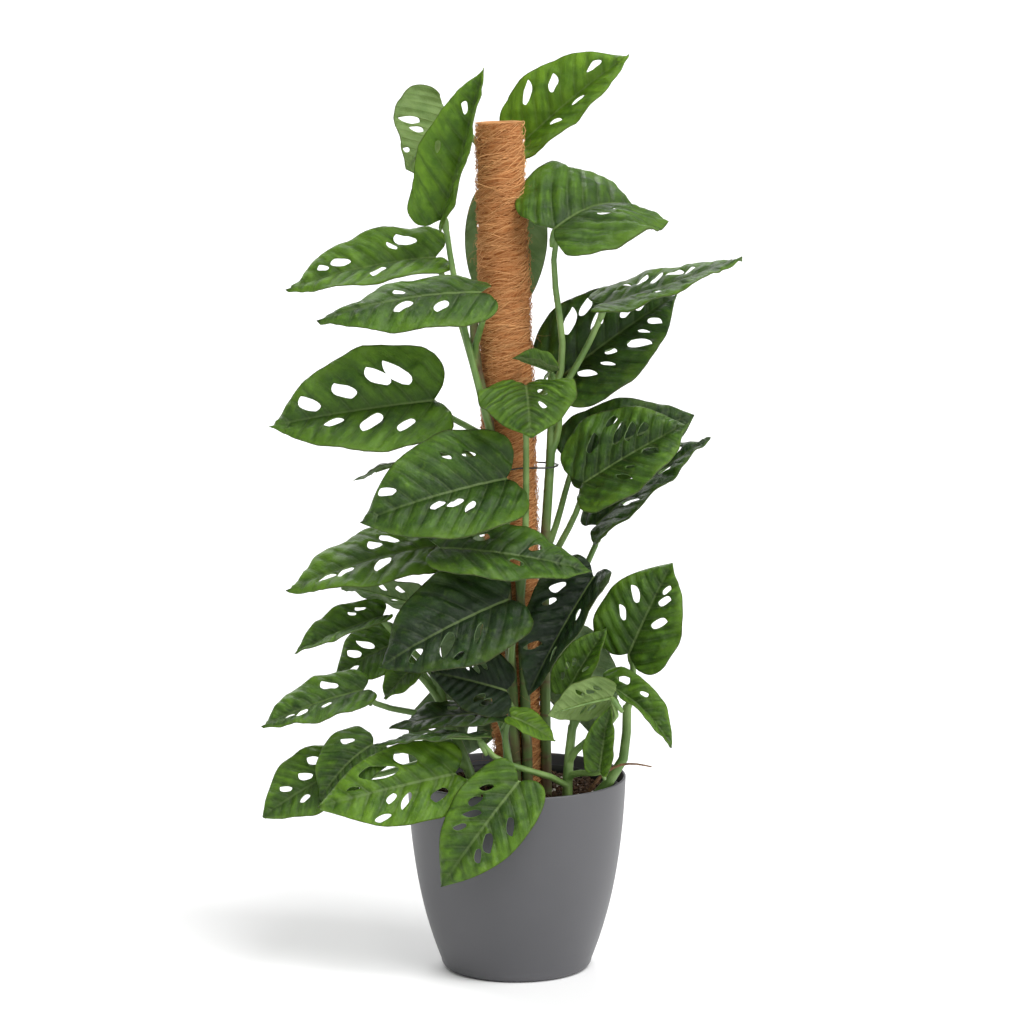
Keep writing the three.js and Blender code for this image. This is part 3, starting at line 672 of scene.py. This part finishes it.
def leaf_finish(name, leaf, under):
    """The skin of a blade: side veins, midrib, quilted tissue, light that shines through, painted shade
    and painted light.
    """
    f = Finish(name)
    count, off, share = f.parts(f.mark("veins", "Vector"))
    fresh, gap, mood = f.parts(f.mark("look", "Vector"))
    spot = f.mark("spot", "Vector")
    from_vein = (((count + 0.5).math("FRACT") - 0.5).math("ABSOLUTE")) * gap
    outward = share.step(0.15, 0.95)
    vein = (1 - from_vein.step(0.25, 1.1)) * (1 - 0.7 * outward)
    vein_crease = (1 - from_vein.step(0.5, 4.5)) * (1 - 0.5 * outward)
    rib = 1 - off.step(0.9, 1.9)
    margin = share.step(0.965, 0.995)
    cells = f.node(
        "ShaderNodeTexVoronoi",
        {"feature": "DISTANCE_TO_EDGE"},
        {"Vector": spot, "Scale": 3.2},
        output="Distance",
    )
    net = 1 - cells.step(0.02, 0.12)
    cloud = f.noise(spot, 0.45, 4.0)
    patch = f.noise(spot, 1.3, 3.0)
    speck = f.noise(spot, 6.0, 2.0)
    # Streaks that run along the side veins: laid on as colour, they paint shade in the pleats between the
    # veins.
    along = f.node("ShaderNodeCombineXYZ", None, {0: count * 2.4, 1: share * 1.6, 2: mood * 20})
    streak = f.noise(along, 1.0, 4.0).step(0.42, 0.66)
    if under:
        skin = f.blend(fresh, leaf.underside, leaf.underside_fresh)
        # Painted shade: the streaks darken the pleats, over random dark clouds.
        skin = f.blend((cloud.step(0.35, 0.75) * 0.3 + streak * 0.25).clamped(), skin, leaf.deep_green)
        skin = f.blend((vein * 0.55 + net * 0.12).clamped(), skin, leaf.vein_pale)
        rough = 0.55
        height = vein * 0.5 + net * 0.16 + speck * 0.1
    else:
        skin = f.blend(fresh, leaf.deep_green, leaf.fresh_green)
        dark = f.blend(fresh, leaf.shadow_green, leaf.deep_green)
        skin = f.blend(cloud.step(0.35, 0.7) * 0.75, skin, dark)
        skin = f.blend(patch.step(0.5, 0.75) * 0.4, skin, leaf.fresh_green)
        # Painted shade in the pleats.
        skin = f.blend((streak * 0.55).clamped(), skin, dark)
        # Painted shade in the creases along the side veins.
        skin = f.blend(vein_crease * 0.45, skin, leaf.shadow_green)
        # Painted shade: darker towards the midrib, where the blade creases, and less so on fresh leaves.
        inner = (1 - share.step(0.0, 0.55)) * (0.62 - 0.35 * fresh)
        skin = f.blend(inner.clamped(), skin, leaf.shadow_green)
        # Painted light: random paler patches towards the margins, where the raised pleats catch the
        # light.
        outer = share.step(0.6, 0.95) * cloud.step(0.4, 0.6) * 0.4
        skin = f.blend(outer.clamped(), skin, leaf.fresh_green)
        skin = f.blend((vein * 0.16 + net * 0.06).clamped(), skin, leaf.vein_pale)
        # Painted shade: leaves of low freshness, deep inside the plant, are darkened further towards
        # shadow green.
        skin = f.blend(((0.32 - fresh) * 2.4).clamped(), skin, leaf.shadow_green)
        rough = (0.34 + 0.14 * speck + 0.08 * mood).clamped()
        height = speck * 0.12 + patch * 0.9 - vein_crease * 0.7 - streak * 0.5 - net * 0.12
    skin = f.blend((rib * (0.62 - count * 0.07)).clamped(), skin, leaf.vein_pale)
    skin = f.blend((margin * 0.7).clamped(), skin, leaf.margin)
    body = f.skin(skin, rough, height, 0.0012, 0.9, specular=0.3)
    glows = [
        f.node("ShaderNodeBsdfTranslucent", None, {"Color": tint})
        for tint in (leaf.glow_deep, leaf.glow_fresh)
    ]
    amount = (0.12 + 0.2 * fresh).clamped()
    return f.done(f.mix(amount, body, f.mix(fresh, *glows)))


def stem_finish(stalk):
    """Living stems: green stalks that turn brown and ringed where they climb the pole."""
    f = Finish("living_stem")
    place = f.place()
    x, y, z = f.parts(place)
    lean = math.tan(POLE_LEAN)
    side = x - (POLE_FOOT + SOIL_TOP * lean) + z * lean
    away = (side * side + y * y).math("SQRT")
    climbing = 1 - away.step(0.035, 0.046)
    cloud = f.noise(place, 26.0, 3.0)
    streak = f.noise(f.stretch(place, (1.0, 1.0, 0.22)), 160.0, 3.0)
    green = f.blend(cloud.step(0.35, 0.7), stalk.petiole, stalk.petiole_pale)
    old = f.blend(cloud.step(0.42, 0.62), stalk.old_green, stalk.old_brown)
    colour = f.blend(climbing, green, old)
    from_ring = ((z * 24 + cloud * 0.6).math("FRACT") - 0.5).math("ABSOLUTE")
    rings = from_ring.step(0.44, 0.49) * climbing
    colour = f.blend((rings * 0.7).clamped(), colour, stalk.old_brown)
    colour = f.blend((streak.step(0.5, 0.8) * 0.25).clamped(), colour, stalk.petiole_pale)
    height = streak * 0.35 + rings * 0.8
    rough = (0.42 + 0.25 * climbing + 0.1 * streak).clamped()
    return f.done(f.skin(colour, rough, height, 0.0007, 0.7, specular=0.45))


def rib_finish(stalk):
    """Raised midribs and petiole joints."""
    f = Finish("midrib")
    cloud = f.noise(f.place(), 90.0, 3.0)
    colour = f.blend(cloud.step(0.3, 0.7), stalk.petiole, stalk.petiole_pale)
    return f.done(f.skin(colour, 0.42 + 0.15 * cloud, cloud, 0.0004, 0.6))


def coir_finish(coir):
    """Dry coconut fibre, with painted shade in the dips and gaps between the fibres."""
    f = Finish("coir")
    tone = f.mark("tone")
    place = f.place()
    cloud = f.noise(place, 22.0, 4.0)
    streak = f.noise(f.stretch(place, (1.0, 1.0, 6.0)), 120.0, 3.0)
    colour = f.blend((tone * 0.85 + cloud * 0.25).clamped(), coir.dark, coir.light)
    # Painted shade: tones below zero, in the dips of the mat, and the streaks between fibres darken
    # towards the fibre shade.
    colour = f.blend((tone * -2).clamped(), colour, coir.shadow)
    colour = f.blend((streak.step(0.55, 0.8) * 0.2).clamped(), colour, coir.shadow)
    rough = (0.82 + 0.12 * streak).clamped()
    return f.done(f.skin(colour, rough, streak, 0.001, 0.7, specular=0.25))


def pot_finish(name, colour, worn, roughness):
    """Moulded plastic with a fine grain and faint scuffs near the foot."""
    f = Finish(name)
    place = f.place()
    z = f.parts(place)[2]
    grain = f.noise(place, 900.0, 2.0)
    cloud = f.noise(place, 9.0, 4.0)
    scratch = f.noise(f.stretch(place, (1.0, 1.0, 5.0)), 70.0, 5.0).step(0.62, 0.75)
    scuff = scratch * (1 - z.step(0.0, 0.05))
    skin = f.blend((cloud.step(0.3, 0.8) * 0.5).clamped(), colour, worn)
    skin = f.blend((scuff * 0.5).clamped(), skin, worn)
    rough = (roughness + 0.1 * cloud + 0.12 * scuff).clamped()
    return f.done(f.skin(skin, rough, grain, 0.0002, 0.5))


def soil_finish(soil):
    """Damp peat and bark crumbs."""
    f = Finish("potting_mix")
    tone = f.mark("tone")
    place = f.place()
    grit = f.noise(place, 420.0, 4.0)
    patch = f.noise(place, 60.0, 3.0)
    colour = f.blend((tone * 0.6 + patch * 0.4).clamped(), soil.dark, soil.light)
    colour = f.blend(tone.step(0.93, 0.97), colour, soil.perlite)
    rough = (0.8 + 0.15 * patch).clamped()
    return f.done(f.skin(colour, rough, grit + patch, 0.002, 0.9, specular=0.3))


def plain_finish(name, colour, worn, roughness, scale, depth=0.0003):
    """A small part with fine mottling."""
    f = Finish(name)
    cloud = f.noise(f.place(), scale, 4.0)
    skin = f.blend(cloud.step(0.35, 0.7), colour, worn)
    return f.done(f.skin(skin, (roughness + 0.15 * cloud).clamped(), cloud, depth, 0.6))


# ---- Sizes and colours that a user would change ----


def length(name, default, text):
    return FloatProperty(
        name=name, description=text, default=default, min=0, unit="LENGTH", precision=4
    )


def number(name, default, text):
    return IntProperty(name=name, description=text, default=default, min=0, subtype="UNSIGNED")


def strength(name, default, text):
    return FloatProperty(name=name, description=text, default=default, min=0)


def colour(name, default, text):
    return FloatVectorProperty(
        name=name, description=text, default=shade(*default), size=3, min=0, max=1, subtype="COLOR"
    )


class LeafSettings(bpy.types.PropertyGroup):
    """Looks of the blades."""

    thickness: length("Thickness", 0.0009, "Thickness of a blade")
    wave: length("Margin wave", 0.0026, "How far the margin of a 100 mm wide blade waves")
    crumple: length("Crumple", 0.0032, "How far the blade crumples between its veins")
    groove: length("Midrib groove", 0.0013, "Depth of the groove above the midrib")
    vein_lean: FloatProperty(
        name="Vein lean",
        description="Angle between the midrib and the side veins",
        default=math.radians(58),
        subtype="ANGLE",
    )
    deep_green: colour("Deep green", (38, 78, 22), "Colour of a mature blade")
    # Painted shade: the colour laid in the pleats, the vein creases, near the midrib and over leaves deep
    # in the plant; it is also the dark end of the random mottling.
    shadow_green: colour("Shadow green", (6, 22, 7), "Darkest tissue of a mature blade")
    fresh_green: colour("Fresh green", (116, 156, 38), "Colour of a young blade")
    vein_pale: colour("Vein", (128, 152, 88), "Colour of the midrib and the side veins")
    margin: colour("Margin", (58, 60, 28), "Colour of the thin hard margin")
    underside: colour("Underside", (104, 126, 88), "Colour of the lower face")
    underside_fresh: colour("Young underside", (138, 162, 98), "Lower face of a young blade")
    glow_deep: colour("Glow", (120, 170, 20), "Light that shines through a mature blade")
    glow_fresh: colour("Young glow", (180, 210, 40), "Light that shines through a young blade")


class StalkSettings(bpy.types.PropertyGroup):
    """Looks of the stems, petioles and midribs."""

    voxel: length("Detail", 0.0009, "Size of the finest detail where stems join")
    fuller: length("Fuller stems", 0.0007, "How much the living stems swell beyond their cores")
    joint: length("Joint radius", 0.0042, "Radius of the swelling where a petiole meets its blade")
    rib: length("Midrib radius", 0.0017, "Radius of the midrib under the base of a blade")
    petiole: colour("Petiole", (84, 116, 52), "Colour of a petiole")
    petiole_pale: colour("Pale petiole", (124, 152, 84), "Colour of its paler stretches")
    old_green: colour("Climbing stem", (82, 104, 52), "Colour of a stem on the pole")
    old_brown: colour("Old bark", (92, 74, 50), "Colour of scars and rings on an old stem")
    root: colour("Aerial root", (120, 88, 56), "Colour of a free root")


class CoirSettings(bpy.types.PropertyGroup):
    """Looks of the pole."""

    foot_radius: length("End radius", 0.025, "Radius of the wrap at both ends")
    belly: length("Belly", 0.004, "How much thicker the wrap is halfway up")
    fibres: number("Fibres", 6200, "Fibres wound round the wrap")
    hairs: number("Loose hairs", 700, "Fibres that stand off the wrap")
    light: colour("Light fibre", (234, 180, 122), "Colour of the palest fibre")
    dark: colour("Dark fibre", (170, 106, 56), "Colour of the darkest fibre")
    # Painted shade laid in the dips and gaps between the fibres.
    shadow: colour("Fibre shade", (92, 54, 30), "Colour between the fibres")


class PotSettings(bpy.types.PropertyGroup):
    """Looks and fine shape of both pots."""

    foot_radius: length("Foot radius", 0.083, "Radius of the underside with its rounding")
    foot_round: length("Foot rounding", 0.009, "Radius of the rounding round the underside")
    wall: length("Wall", 0.003, "Wall thickness")
    floor: length("Floor", 0.004, "Thickness of the pot's floor")
    body: colour("Pot", (76, 76, 79), "Colour of the pot")
    worn: colour("Pot, paler", (83, 83, 86), "Colour of its paler patches")
    nursery: colour("Nursery pot", (28, 27, 26), "Colour of the inner pot")


class SoilSettings(bpy.types.PropertyGroup):
    """Looks of the potting mix."""

    crumbs: number("Crumbs", 1500, "Loose crumbs on the surface")
    crumb: length("Crumb size", 0.0032, "Radius of a middling crumb")
    dark: colour("Damp peat", (38, 27, 19), "Darkest crumbs")
    light: colour("Bark", (84, 60, 40), "Palest crumbs")
    perlite: colour("Perlite", (196, 190, 178), "White grains")


class StageSettings(bpy.types.PropertyGroup):
    """Floor, light and camera."""

    floor: colour("Floor", (246, 246, 246), "Colour of the floor")
    sky: strength("Sky", 0.42, "Strength of the light from all round")
    key: strength("Key light", 2.75, "Strength of the main light")
    lens: FloatProperty(
        name="Lens", description="Focal length", default=130.9, min=1, unit="CAMERA"
    )


# ---- Operators ----


class MONSTERA_OT_pots(bpy.types.Operator):
    """Turns the grey pot and the dark nursery pot inside it"""

    bl_idname = "monstera.pots"
    bl_label = "Pots"

    def execute(self, context):
        pot = context.scene.monstera_pot
        rim, height = POT_HIGH.x, POT_HIGH.z
        spread = rim - pot.foot_radius
        side = bezier(
            (
                (pot.foot_radius, pot.foot_round),
                (pot.foot_radius + 0.6 * spread, 0.3 * height),
                (pot.foot_radius + 0.92 * spread, 0.6 * height),
                (rim, height),
            ),
            60,
        )
        side = np.vstack([[(pot.foot_radius, pot.foot_round)], side])

        def radius(z):
            return np.interp(z, side[:, 1], side[:, 0])

        corner = [
            (
                pot.foot_radius - pot.foot_round * (1 - math.sin(a)),
                pot.foot_round * (1 - math.cos(a)),
            )
            for a in np.linspace(0, math.pi / 2, 9)
        ]
        lip = pot.wall / 2
        outer = [(radius(z), z) for z in np.linspace(pot.foot_round, height - lip, 50)[1:]]
        rounding = [
            (rim - lip + lip * math.cos(a), height - lip + lip * math.sin(a))
            for a in np.linspace(0, math.pi, 9)[1:-1]
        ]
        inner = [(radius(z) - pot.wall, z) for z in np.linspace(height - lip, pot.floor, 40)]
        profile = [(0.001, 0), *corner, *outer, *rounding, *inner, (0.001, pot.floor)]
        body = turned("grey_pot", profile, 144)
        keep_piece(body, "pot", [pot_finish("grey_plastic", pot.body, pot.worn, 0.4)], "pot")

        low, high = NURSERY_LOW.z, NURSERY_HIGH.z
        inset = radius(high) - NURSERY_HIGH.x
        outer = [(radius(z) - inset, z) for z in np.linspace(low, high, 30)]
        inner = [(r - NURSERY_WALL, z) for r, z in outer[::-1]]
        floor = low + NURSERY_WALL
        profile = [(0.001, low), *outer, *inner[:-1], (inner[-1][0], floor), (0.001, floor)]
        inside_pot = turned("dark_nursery_pot", profile, 120)
        finish = pot_finish("dark_plastic", pot.nursery, pot.nursery, 0.55)
        keep_piece(inside_pot, "nursery", [finish], "nursery_pot")
        return {"FINISHED"}


def blob(dice, spot, size):
    """Points and faces of one rough crumb."""
    rise = np.array([0.85, 0.3, -0.35, -0.85])
    wide = np.sqrt(1 - rise**2)
    points = [
        (w * math.cos(a), w * math.sin(a), z)
        for k, (w, z) in enumerate(zip(wide, rise))
        for a in np.linspace(0, 2 * math.pi, 5, endpoint=False) + 0.6 * k
    ]
    points = np.array(points) * dice.uniform(0.7, 1.25, (20, 1)) * dice.uniform(0.6, 1.3, 3) * size
    spin = dice.uniform(0, 2 * math.pi)
    turn = np.array(
        [(math.cos(spin), -math.sin(spin), 0), (math.sin(spin), math.cos(spin), 0), (0, 0, 1)]
    )
    faces = [
        (5 * r + k, 5 * (r + 1) + k, 5 * (r + 1) + (k + 1) % 5, 5 * r + (k + 1) % 5)
        for r in range(3)
        for k in range(5)
    ]
    faces += [(0, 1, 2, 3, 4), (19, 18, 17, 16, 15)]
    return points @ turn.T + spot, faces


class MONSTERA_OT_soil(bpy.types.Operator):
    """Fills the pot with potting mix and scatters crumbs on it"""

    bl_idname = "monstera.soil"
    bl_label = "Potting mix"

    def execute(self, context):
        soil = context.scene.monstera_soil
        dice = np.random.default_rng(SOIL_SEED)
        edge = SOIL_HIGH.x - 0.0005
        around = 180
        turn = np.linspace(0, 2 * math.pi, around, endpoint=False)
        rings = [0.02, *np.linspace(0.06, 1.0, 70)]
        points = []
        for share in rings:
            x, y = share * edge * np.cos(turn), share * edge * np.sin(turn)
            lump = np.sin(1000 * x * 0.11 + 1.7 * np.cos(1000 * y * 0.07))
            lump *= np.cos(1000 * y * 0.13 - 0.6)
            fine = dice.uniform(-1, 1, around)
            height = SOIL_TOP + SOIL_LUMP * lump * (share < 1) + SOIL_GRAIN * fine
            points.append(np.column_stack([x, y, height]))
        x, y = 0.99 * edge * np.cos(turn), 0.99 * edge * np.sin(turn)
        points.append(np.column_stack([x, y, np.full(around, SOIL_SKIN_FOOT)]))
        k = np.arange(around)
        faces = [list(range(around))]
        for i in range(len(points) - 1):
            a, b = i * around + k, i * around + (k + 1) % around
            faces += np.column_stack([b, a, a + around, b + around]).tolist()
        points = np.vstack(points)
        faces.append(list(range(len(points) - 1, len(points) - around - 1, -1)))
        finish = soil_finish(soil)
        tones = dice.uniform(0, 0.8, len(points))
        ground = mesh_piece("potting_mix", points, faces, {"tone": tones})
        keep_piece(ground, "soil", [finish], "soil")

        spots, faces, tones = [], [], []
        for k in range(soil.crumbs):
            reach = edge * 0.975 * math.sqrt(dice.uniform(0.05, 1))
            angle = dice.uniform(0, 2 * math.pi)
            x, y = reach * math.cos(angle), reach * math.sin(angle)
            if math.hypot(x - POLE_FOOT, y) < 0.03:
                continue
            size = soil.crumb * dice.uniform(0.35, 1.5)
            made, sides = blob(dice, (x, y, SOIL_TOP + SOIL_LUMP + 0.2 * size), size)
            faces += [[i + 20 * len(spots) for i in side] for side in sides]
            spots.append(made)
            tones.append(np.full(20, dice.uniform(0, 1)))
        marks = {"tone": np.hstack(tones)}
        crumbs = mesh_piece("soil_crumbs", np.vstack(spots), faces, marks, smooth=False)
        keep_piece(crumbs, "soil", [finish])
        return {"FINISHED"}


class MONSTERA_OT_pole(bpy.types.Operator):
    """Winds coir fibre round the pole"""

    bl_idname = "monstera.pole"
    bl_label = "Coir pole"

    def execute(self, context):
        coir = context.scene.monstera_coir
        dice = np.random.default_rng(COIR_SEED)
        lean = POLE_LEAN
        levels, around = 260, 96

        def radius(h):
            return coir.foot_radius + coir.belly * np.sin(math.pi * np.clip(h / POLE_HEIGHT, 0, 1))

        def spot(angle, h, r):
            x, y = r * np.cos(angle), r * np.sin(angle)
            side = POLE_FOOT + x * math.cos(lean) - h * math.sin(lean)
            return np.column_stack([side, y, SOIL_TOP + x * math.sin(lean) + h * math.cos(lean)])

        heights = np.linspace(-COIR_BURIED, POLE_HEIGHT, levels)
        turn = np.linspace(0, 2 * math.pi, around, endpoint=False)
        rings, tones = [], []
        for h in heights:
            strand = np.sin(turn * 3 + h * 900) + np.sin(turn * 5 - h * 640)
            r = radius(h) - 0.0016 + 0.00035 * strand + dice.uniform(-0.0004, 0.0004, around)
            rings.append(spot(turn, np.full(around, h), r))
            # The tone follows the strands' dips, partly at random, so the recessed fibre comes out
            # darker: painted shade.
            tones.append(0.05 + 0.15 * strand + dice.uniform(-0.15, 0.15, around))
        rings.append(spot(turn, np.full(around, POLE_HEIGHT), np.full(around, COIR_BORE)))
        rings.append(spot(turn, np.full(around, -COIR_BURIED), np.full(around, COIR_BORE)))
        tones += [np.full(around, 0.3), np.full(around, 0.3)]
        faces = bands(len(rings), around, closed=True)
        sleeve = mesh_piece("coir_mat", np.vstack(rings), faces, {"tone": np.hstack(tones)})
        finish = coir_finish(coir)
        keep_piece(sleeve, "coir", [finish], "coir_wrap")

        wound = Rods()
        for k in range(coir.fibres):
            steps = 8
            span = dice.uniform(0.4, 1.8) * dice.choice((-1, 1))
            start = dice.uniform(0, 2 * math.pi)
            rise = dice.normal(0.2, 0.24) * 0.027 * span
            foot = dice.uniform(0, POLE_HEIGHT)
            t = np.linspace(0, 1, steps)
            h = np.clip(foot + rise * t + 0.0016 * np.sin(5 * t + start), 0.0, POLE_HEIGHT)
            lift = -0.0008 + 0.0011 * dice.random()
            lift += 0.0007 * np.sin(math.pi * t * dice.integers(1, 5))
            lift += dice.choice((0, 0, 0, 0.002)) * np.sin(math.pi * t)
            path = spot(start + span * t, h, radius(h) + lift)
            thick = dice.uniform(0.00018, 0.00046)
            wound.add(path, thick * np.sin(math.pi * (0.12 + 0.76 * t)), dice.uniform(0, 1), 4)
        keep_piece(wound.piece("wound_fibres"), "coir", [finish])

        loose = Rods()
        for k in range(coir.hairs):
            steps = 9
            start = dice.uniform(0, 2 * math.pi)
            h0 = dice.uniform(0.01, POLE_HEIGHT - 0.002)
            far = dice.gamma(1.5, 0.0045)
            span = dice.normal(0, 0.5)
            t = np.linspace(0, 1, steps)
            fall = dice.normal(0.0, 0.012) * t**1.5 - 0.25 * far * t**2
            h = h0 + fall + 0.0012 * np.sin(7 * t + start)
            out = radius(h0) - 0.001 + far * np.sin(1.5 * t)
            path = spot(start + span * t, h, out)
            loose.add(path, dice.uniform(0.00009, 0.0002) * (1 - 0.6 * t), dice.uniform(0.4, 1), 3)
        keep_piece(loose.piece("loose_hairs"), "coir", [finish])

        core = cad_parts["pole_core"]
        core.data.materials.clear()
        rod = plain_finish("pole_rod", shade(150, 118, 84), shade(126, 96, 66), 0.7, 60.0)
        core.data.materials.append(rod)
        return {"FINISHED"}


def petiole_end(blade):
    """Where a blade's petiole ends under its base, and the way it comes in, in metres."""
    _, along, out = blade.heading(np.zeros(1))
    room = 1 + max(0.0, -math.tan(blade.fold))
    under = CAD_THICKNESS / 2 + JOINT_AIR + JOINT_BLUNT + PETIOLE_TIP * room
    come = unit(along[0] + out[0] + (0, 0, 1))
    return blade.base - under * MM * out[0], come


class MONSTERA_OT_leaves(bpy.types.Operator):
    """Grows every blade, with its holes, quilting and veins, in the box of its CAD leaf"""

    bl_idname = "monstera.leaves"
    bl_label = "Leaves"

    def execute(self, context):
        leaf = context.scene.monstera_leaf
        stalk = context.scene.monstera_stalk
        upper = leaf_finish("leaf_upper", leaf, under=False)
        lower = leaf_finish("leaf_under", leaf, under=True)
        ribs = Rods()
        for k, (name, _, *shape) in enumerate(LEAVES):
            blade = Blade(name, *shape)
            dice = np.random.default_rng(BLADE_SEED + k)
            flat, faces = cut_blade(blade, dice)
            x, y = flat.T
            lift = blade.relief(x, y, np.random.default_rng(RELIEF_SEED + k))
            share = np.clip(np.abs(y) / blade.half_width(x), 0, 1)
            slant = blade.gap * math.sin(blade.lean)
            one = np.ones(len(x))
            marks = {
                "veins": np.column_stack([blade.vein_count(x, y), np.abs(y), share]),
                "look": np.column_stack([blade.fresh * one, slant * one, dice.random() * one]),
                "spot": np.column_stack([x / 10, y / 10, 3.7 * k * one]),
            }
            piece = mesh_piece(f"{blade.name}_blade", blade.place(x, y, lift), faces, marks)
            skin = piece.modifiers.new("thickness", "SOLIDIFY")
            skin.thickness = leaf.thickness
            skin.offset = 0
            skin.material_offset = 1
            skin.material_offset_rim = 1
            keep_piece(piece, "leaf", [upper, lower], blade.name)

            end, come = petiole_end(blade)
            reach = np.linspace(0.02, 0.8, 18) * blade.length
            still = np.zeros_like(reach)
            slim = (1 - reach / blade.length) ** 0.7
            under = leaf.thickness / MM / 2 + 0.55 * stalk.rib / MM * slim
            spine = blade.relief(reach, still, np.random.default_rng(RELIEF_SEED + k)) - under
            path = blade.place(reach, still, spine)
            girth = min(1.0, 0.5 + blade.width / 200)
            foot = [end + way * come for way, _ in JOINT_SHAPE]
            radii = [0.0019, *(stalk.joint * share * girth for _, share in JOINT_SHAPE[1:])]
            radii += [*(stalk.rib * girth * slim + 0.0001)]
            ribs.add(np.vstack([foot, path]), radii, blade.fresh, 10)
        keep_piece(ribs.piece("midribs"), "vine", [rib_finish(stalk)])
        return {"FINISHED"}


def smoothed(name, finish, voxel, rounds):
    """Gives a CAD body its finish, and melts its facets and its joins into one soft surface."""
    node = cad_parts[name]
    node.data.materials.clear()
    node.data.materials.append(finish)
    grown = node.modifiers.new("grown_together", "REMESH")
    grown.mode = "VOXEL"
    grown.voxel_size = voxel
    grown.use_smooth_shade = True
    soft = node.modifiers.new("rounded", "SMOOTH")
    soft.factor = 0.6
    soft.iterations = rounds
    return node


class MONSTERA_OT_stems(bpy.types.Operator):
    """Smooths the climbing stems and low shoots with their petioles, and gives them their skin"""

    bl_idname = "monstera.stems"
    bl_label = "Stems"

    def execute(self, context):
        stalk = context.scene.monstera_stalk
        finish = stem_finish(stalk)
        for name in sorted({row[1] for row in LEAVES}):
            node = smoothed(name, finish, stalk.voxel, 9)
            fuller = node.modifiers.new("fuller", "DISPLACE")
            fuller.strength = stalk.fuller
            fuller.mid_level = 0
        return {"FINISHED"}


class MONSTERA_OT_trim(bpy.types.Operator):
    """Finishes the wire tie and the free root"""

    bl_idname = "monstera.trim"
    bl_label = "Tie and free root"

    def execute(self, context):
        stalk = context.scene.monstera_stalk
        wire = plain_finish("wire_coating", shade(44, 47, 40), shade(58, 62, 50), 0.4, 300.0)
        bark = plain_finish("dry_root", stalk.root, shade(88, 62, 40), 0.75, 260.0, 0.0008)
        smoothed("tie", wire, TRIM_VOXEL, 6)
        smoothed("aerial_root", bark, TRIM_VOXEL, 6)
        return {"FINISHED"}


class MONSTERA_OT_stage(bpy.types.Operator):
    """Sets up the pale floor, the soft light and the camera"""

    bl_idname = "monstera.stage"
    bl_label = "Floor, light and camera"

    def execute(self, context):
        stage = context.scene.monstera_stage
        f = Finish("pale_floor")
        speck = f.noise(f.place(), 3.0, 2.0)
        near = tuple(0.97 * c for c in stage.floor)
        f.done(f.principled(Base_Color=f.blend(speck * 0.3, stage.floor, near), Roughness=0.9))
        corners = [(x * FLOOR_REACH, y * FLOOR_REACH, 0) for x, y in ((-1, -1), (1, -1), (1, 1), (-1, 1))]
        floor = mesh_piece("floor", corners, [(0, 1, 2, 3)], smooth=False)
        floor.data.materials.append(f.material)

        world = bpy.data.worlds.new("soft_room")
        world.use_nodes = True
        tree = world.node_tree
        sky = tree.nodes["Background"]
        sky.inputs["Color"].default_value = (1.0, 1.0, 1.0, 1.0)
        sky.inputs["Strength"].default_value = stage.sky
        wall = tree.nodes.new("ShaderNodeBackground")
        seen = tree.nodes.new("ShaderNodeLightPath")
        either = tree.nodes.new("ShaderNodeMixShader")
        tree.links.new(seen.outputs["Is Camera Ray"], either.inputs[0])
        tree.links.new(sky.outputs[0], either.inputs[1])
        tree.links.new(wall.outputs[0], either.inputs[2])
        tree.links.new(either.outputs[0], tree.nodes["World Output"].inputs["Surface"])
        context.scene.world = world

        for name, way, share, spread in LIGHTS:
            lamp = bpy.data.lights.new(name, "SUN")
            lamp.energy = stage.key * share
            lamp.angle = math.radians(spread)
            holder = bpy.data.objects.new(name, lamp)
            holder.rotation_euler = Vector(way).to_track_quat("-Z", "Y").to_euler()
            context.scene.collection.objects.link(holder)

        view = bpy.data.cameras.new("camera")
        view.lens = stage.lens
        view.sensor_width = SENSOR_WIDTH
        view.clip_end = 2000
        holder = bpy.data.objects.new("camera", view)
        eye, aim = Vector(CAMERA_EYE), Vector(CAMERA_AIM)
        holder.location = eye
        holder.rotation_euler = (aim - eye).to_track_quat("-Z", "Y").to_euler()
        context.scene.collection.objects.link(holder)
        context.scene.camera = holder
        context.scene.view_settings.view_transform = "Standard"
        return {"FINISHED"}


class MONSTERA_PT_panel(bpy.types.Panel):
    """Every piece of the plant"""

    bl_idname = "MONSTERA_PT_panel"
    bl_label = "Monstera"
    bl_space_type = "VIEW_3D"
    bl_region_type = "UI"
    bl_category = "Monstera"

    def draw(self, context):
        for group, operators in SECTIONS:
            box = self.layout.box()
            settings = getattr(context.scene, group)
            for key in settings.__annotations__:
                box.prop(settings, key)
            for operator in operators:
                box.operator(operator.bl_idname)


SECTIONS = (
    ("monstera_pot", (MONSTERA_OT_pots,)),
    ("monstera_soil", (MONSTERA_OT_soil,)),
    ("monstera_coir", (MONSTERA_OT_pole,)),
    ("monstera_leaf", (MONSTERA_OT_leaves,)),
    ("monstera_stalk", (MONSTERA_OT_stems, MONSTERA_OT_trim)),
    ("monstera_stage", (MONSTERA_OT_stage,)),
)
SETTINGS = {
    "monstera_pot": PotSettings,
    "monstera_soil": SoilSettings,
    "monstera_coir": CoirSettings,
    "monstera_leaf": LeafSettings,
    "monstera_stalk": StalkSettings,
    "monstera_stage": StageSettings,
}
OPERATORS = [operator for _, operators in SECTIONS for operator in operators]


def register():
    for cls in (*SETTINGS.values(), *OPERATORS, MONSTERA_PT_panel):
        bpy.utils.register_class(cls)
    for name, group in SETTINGS.items():
        setattr(bpy.types.Scene, name, PointerProperty(type=group))


def unregister():
    for name in SETTINGS:
        delattr(bpy.types.Scene, name)
    for cls in (MONSTERA_PT_panel, *reversed(OPERATORS), *SETTINGS.values()):
        bpy.utils.unregister_class(cls)


def main():
    register()
    for operator in OPERATORS:
        family, name = operator.bl_idname.split(".")
        getattr(getattr(bpy.ops, family), name)()


if __name__ == "__main__":
    main()
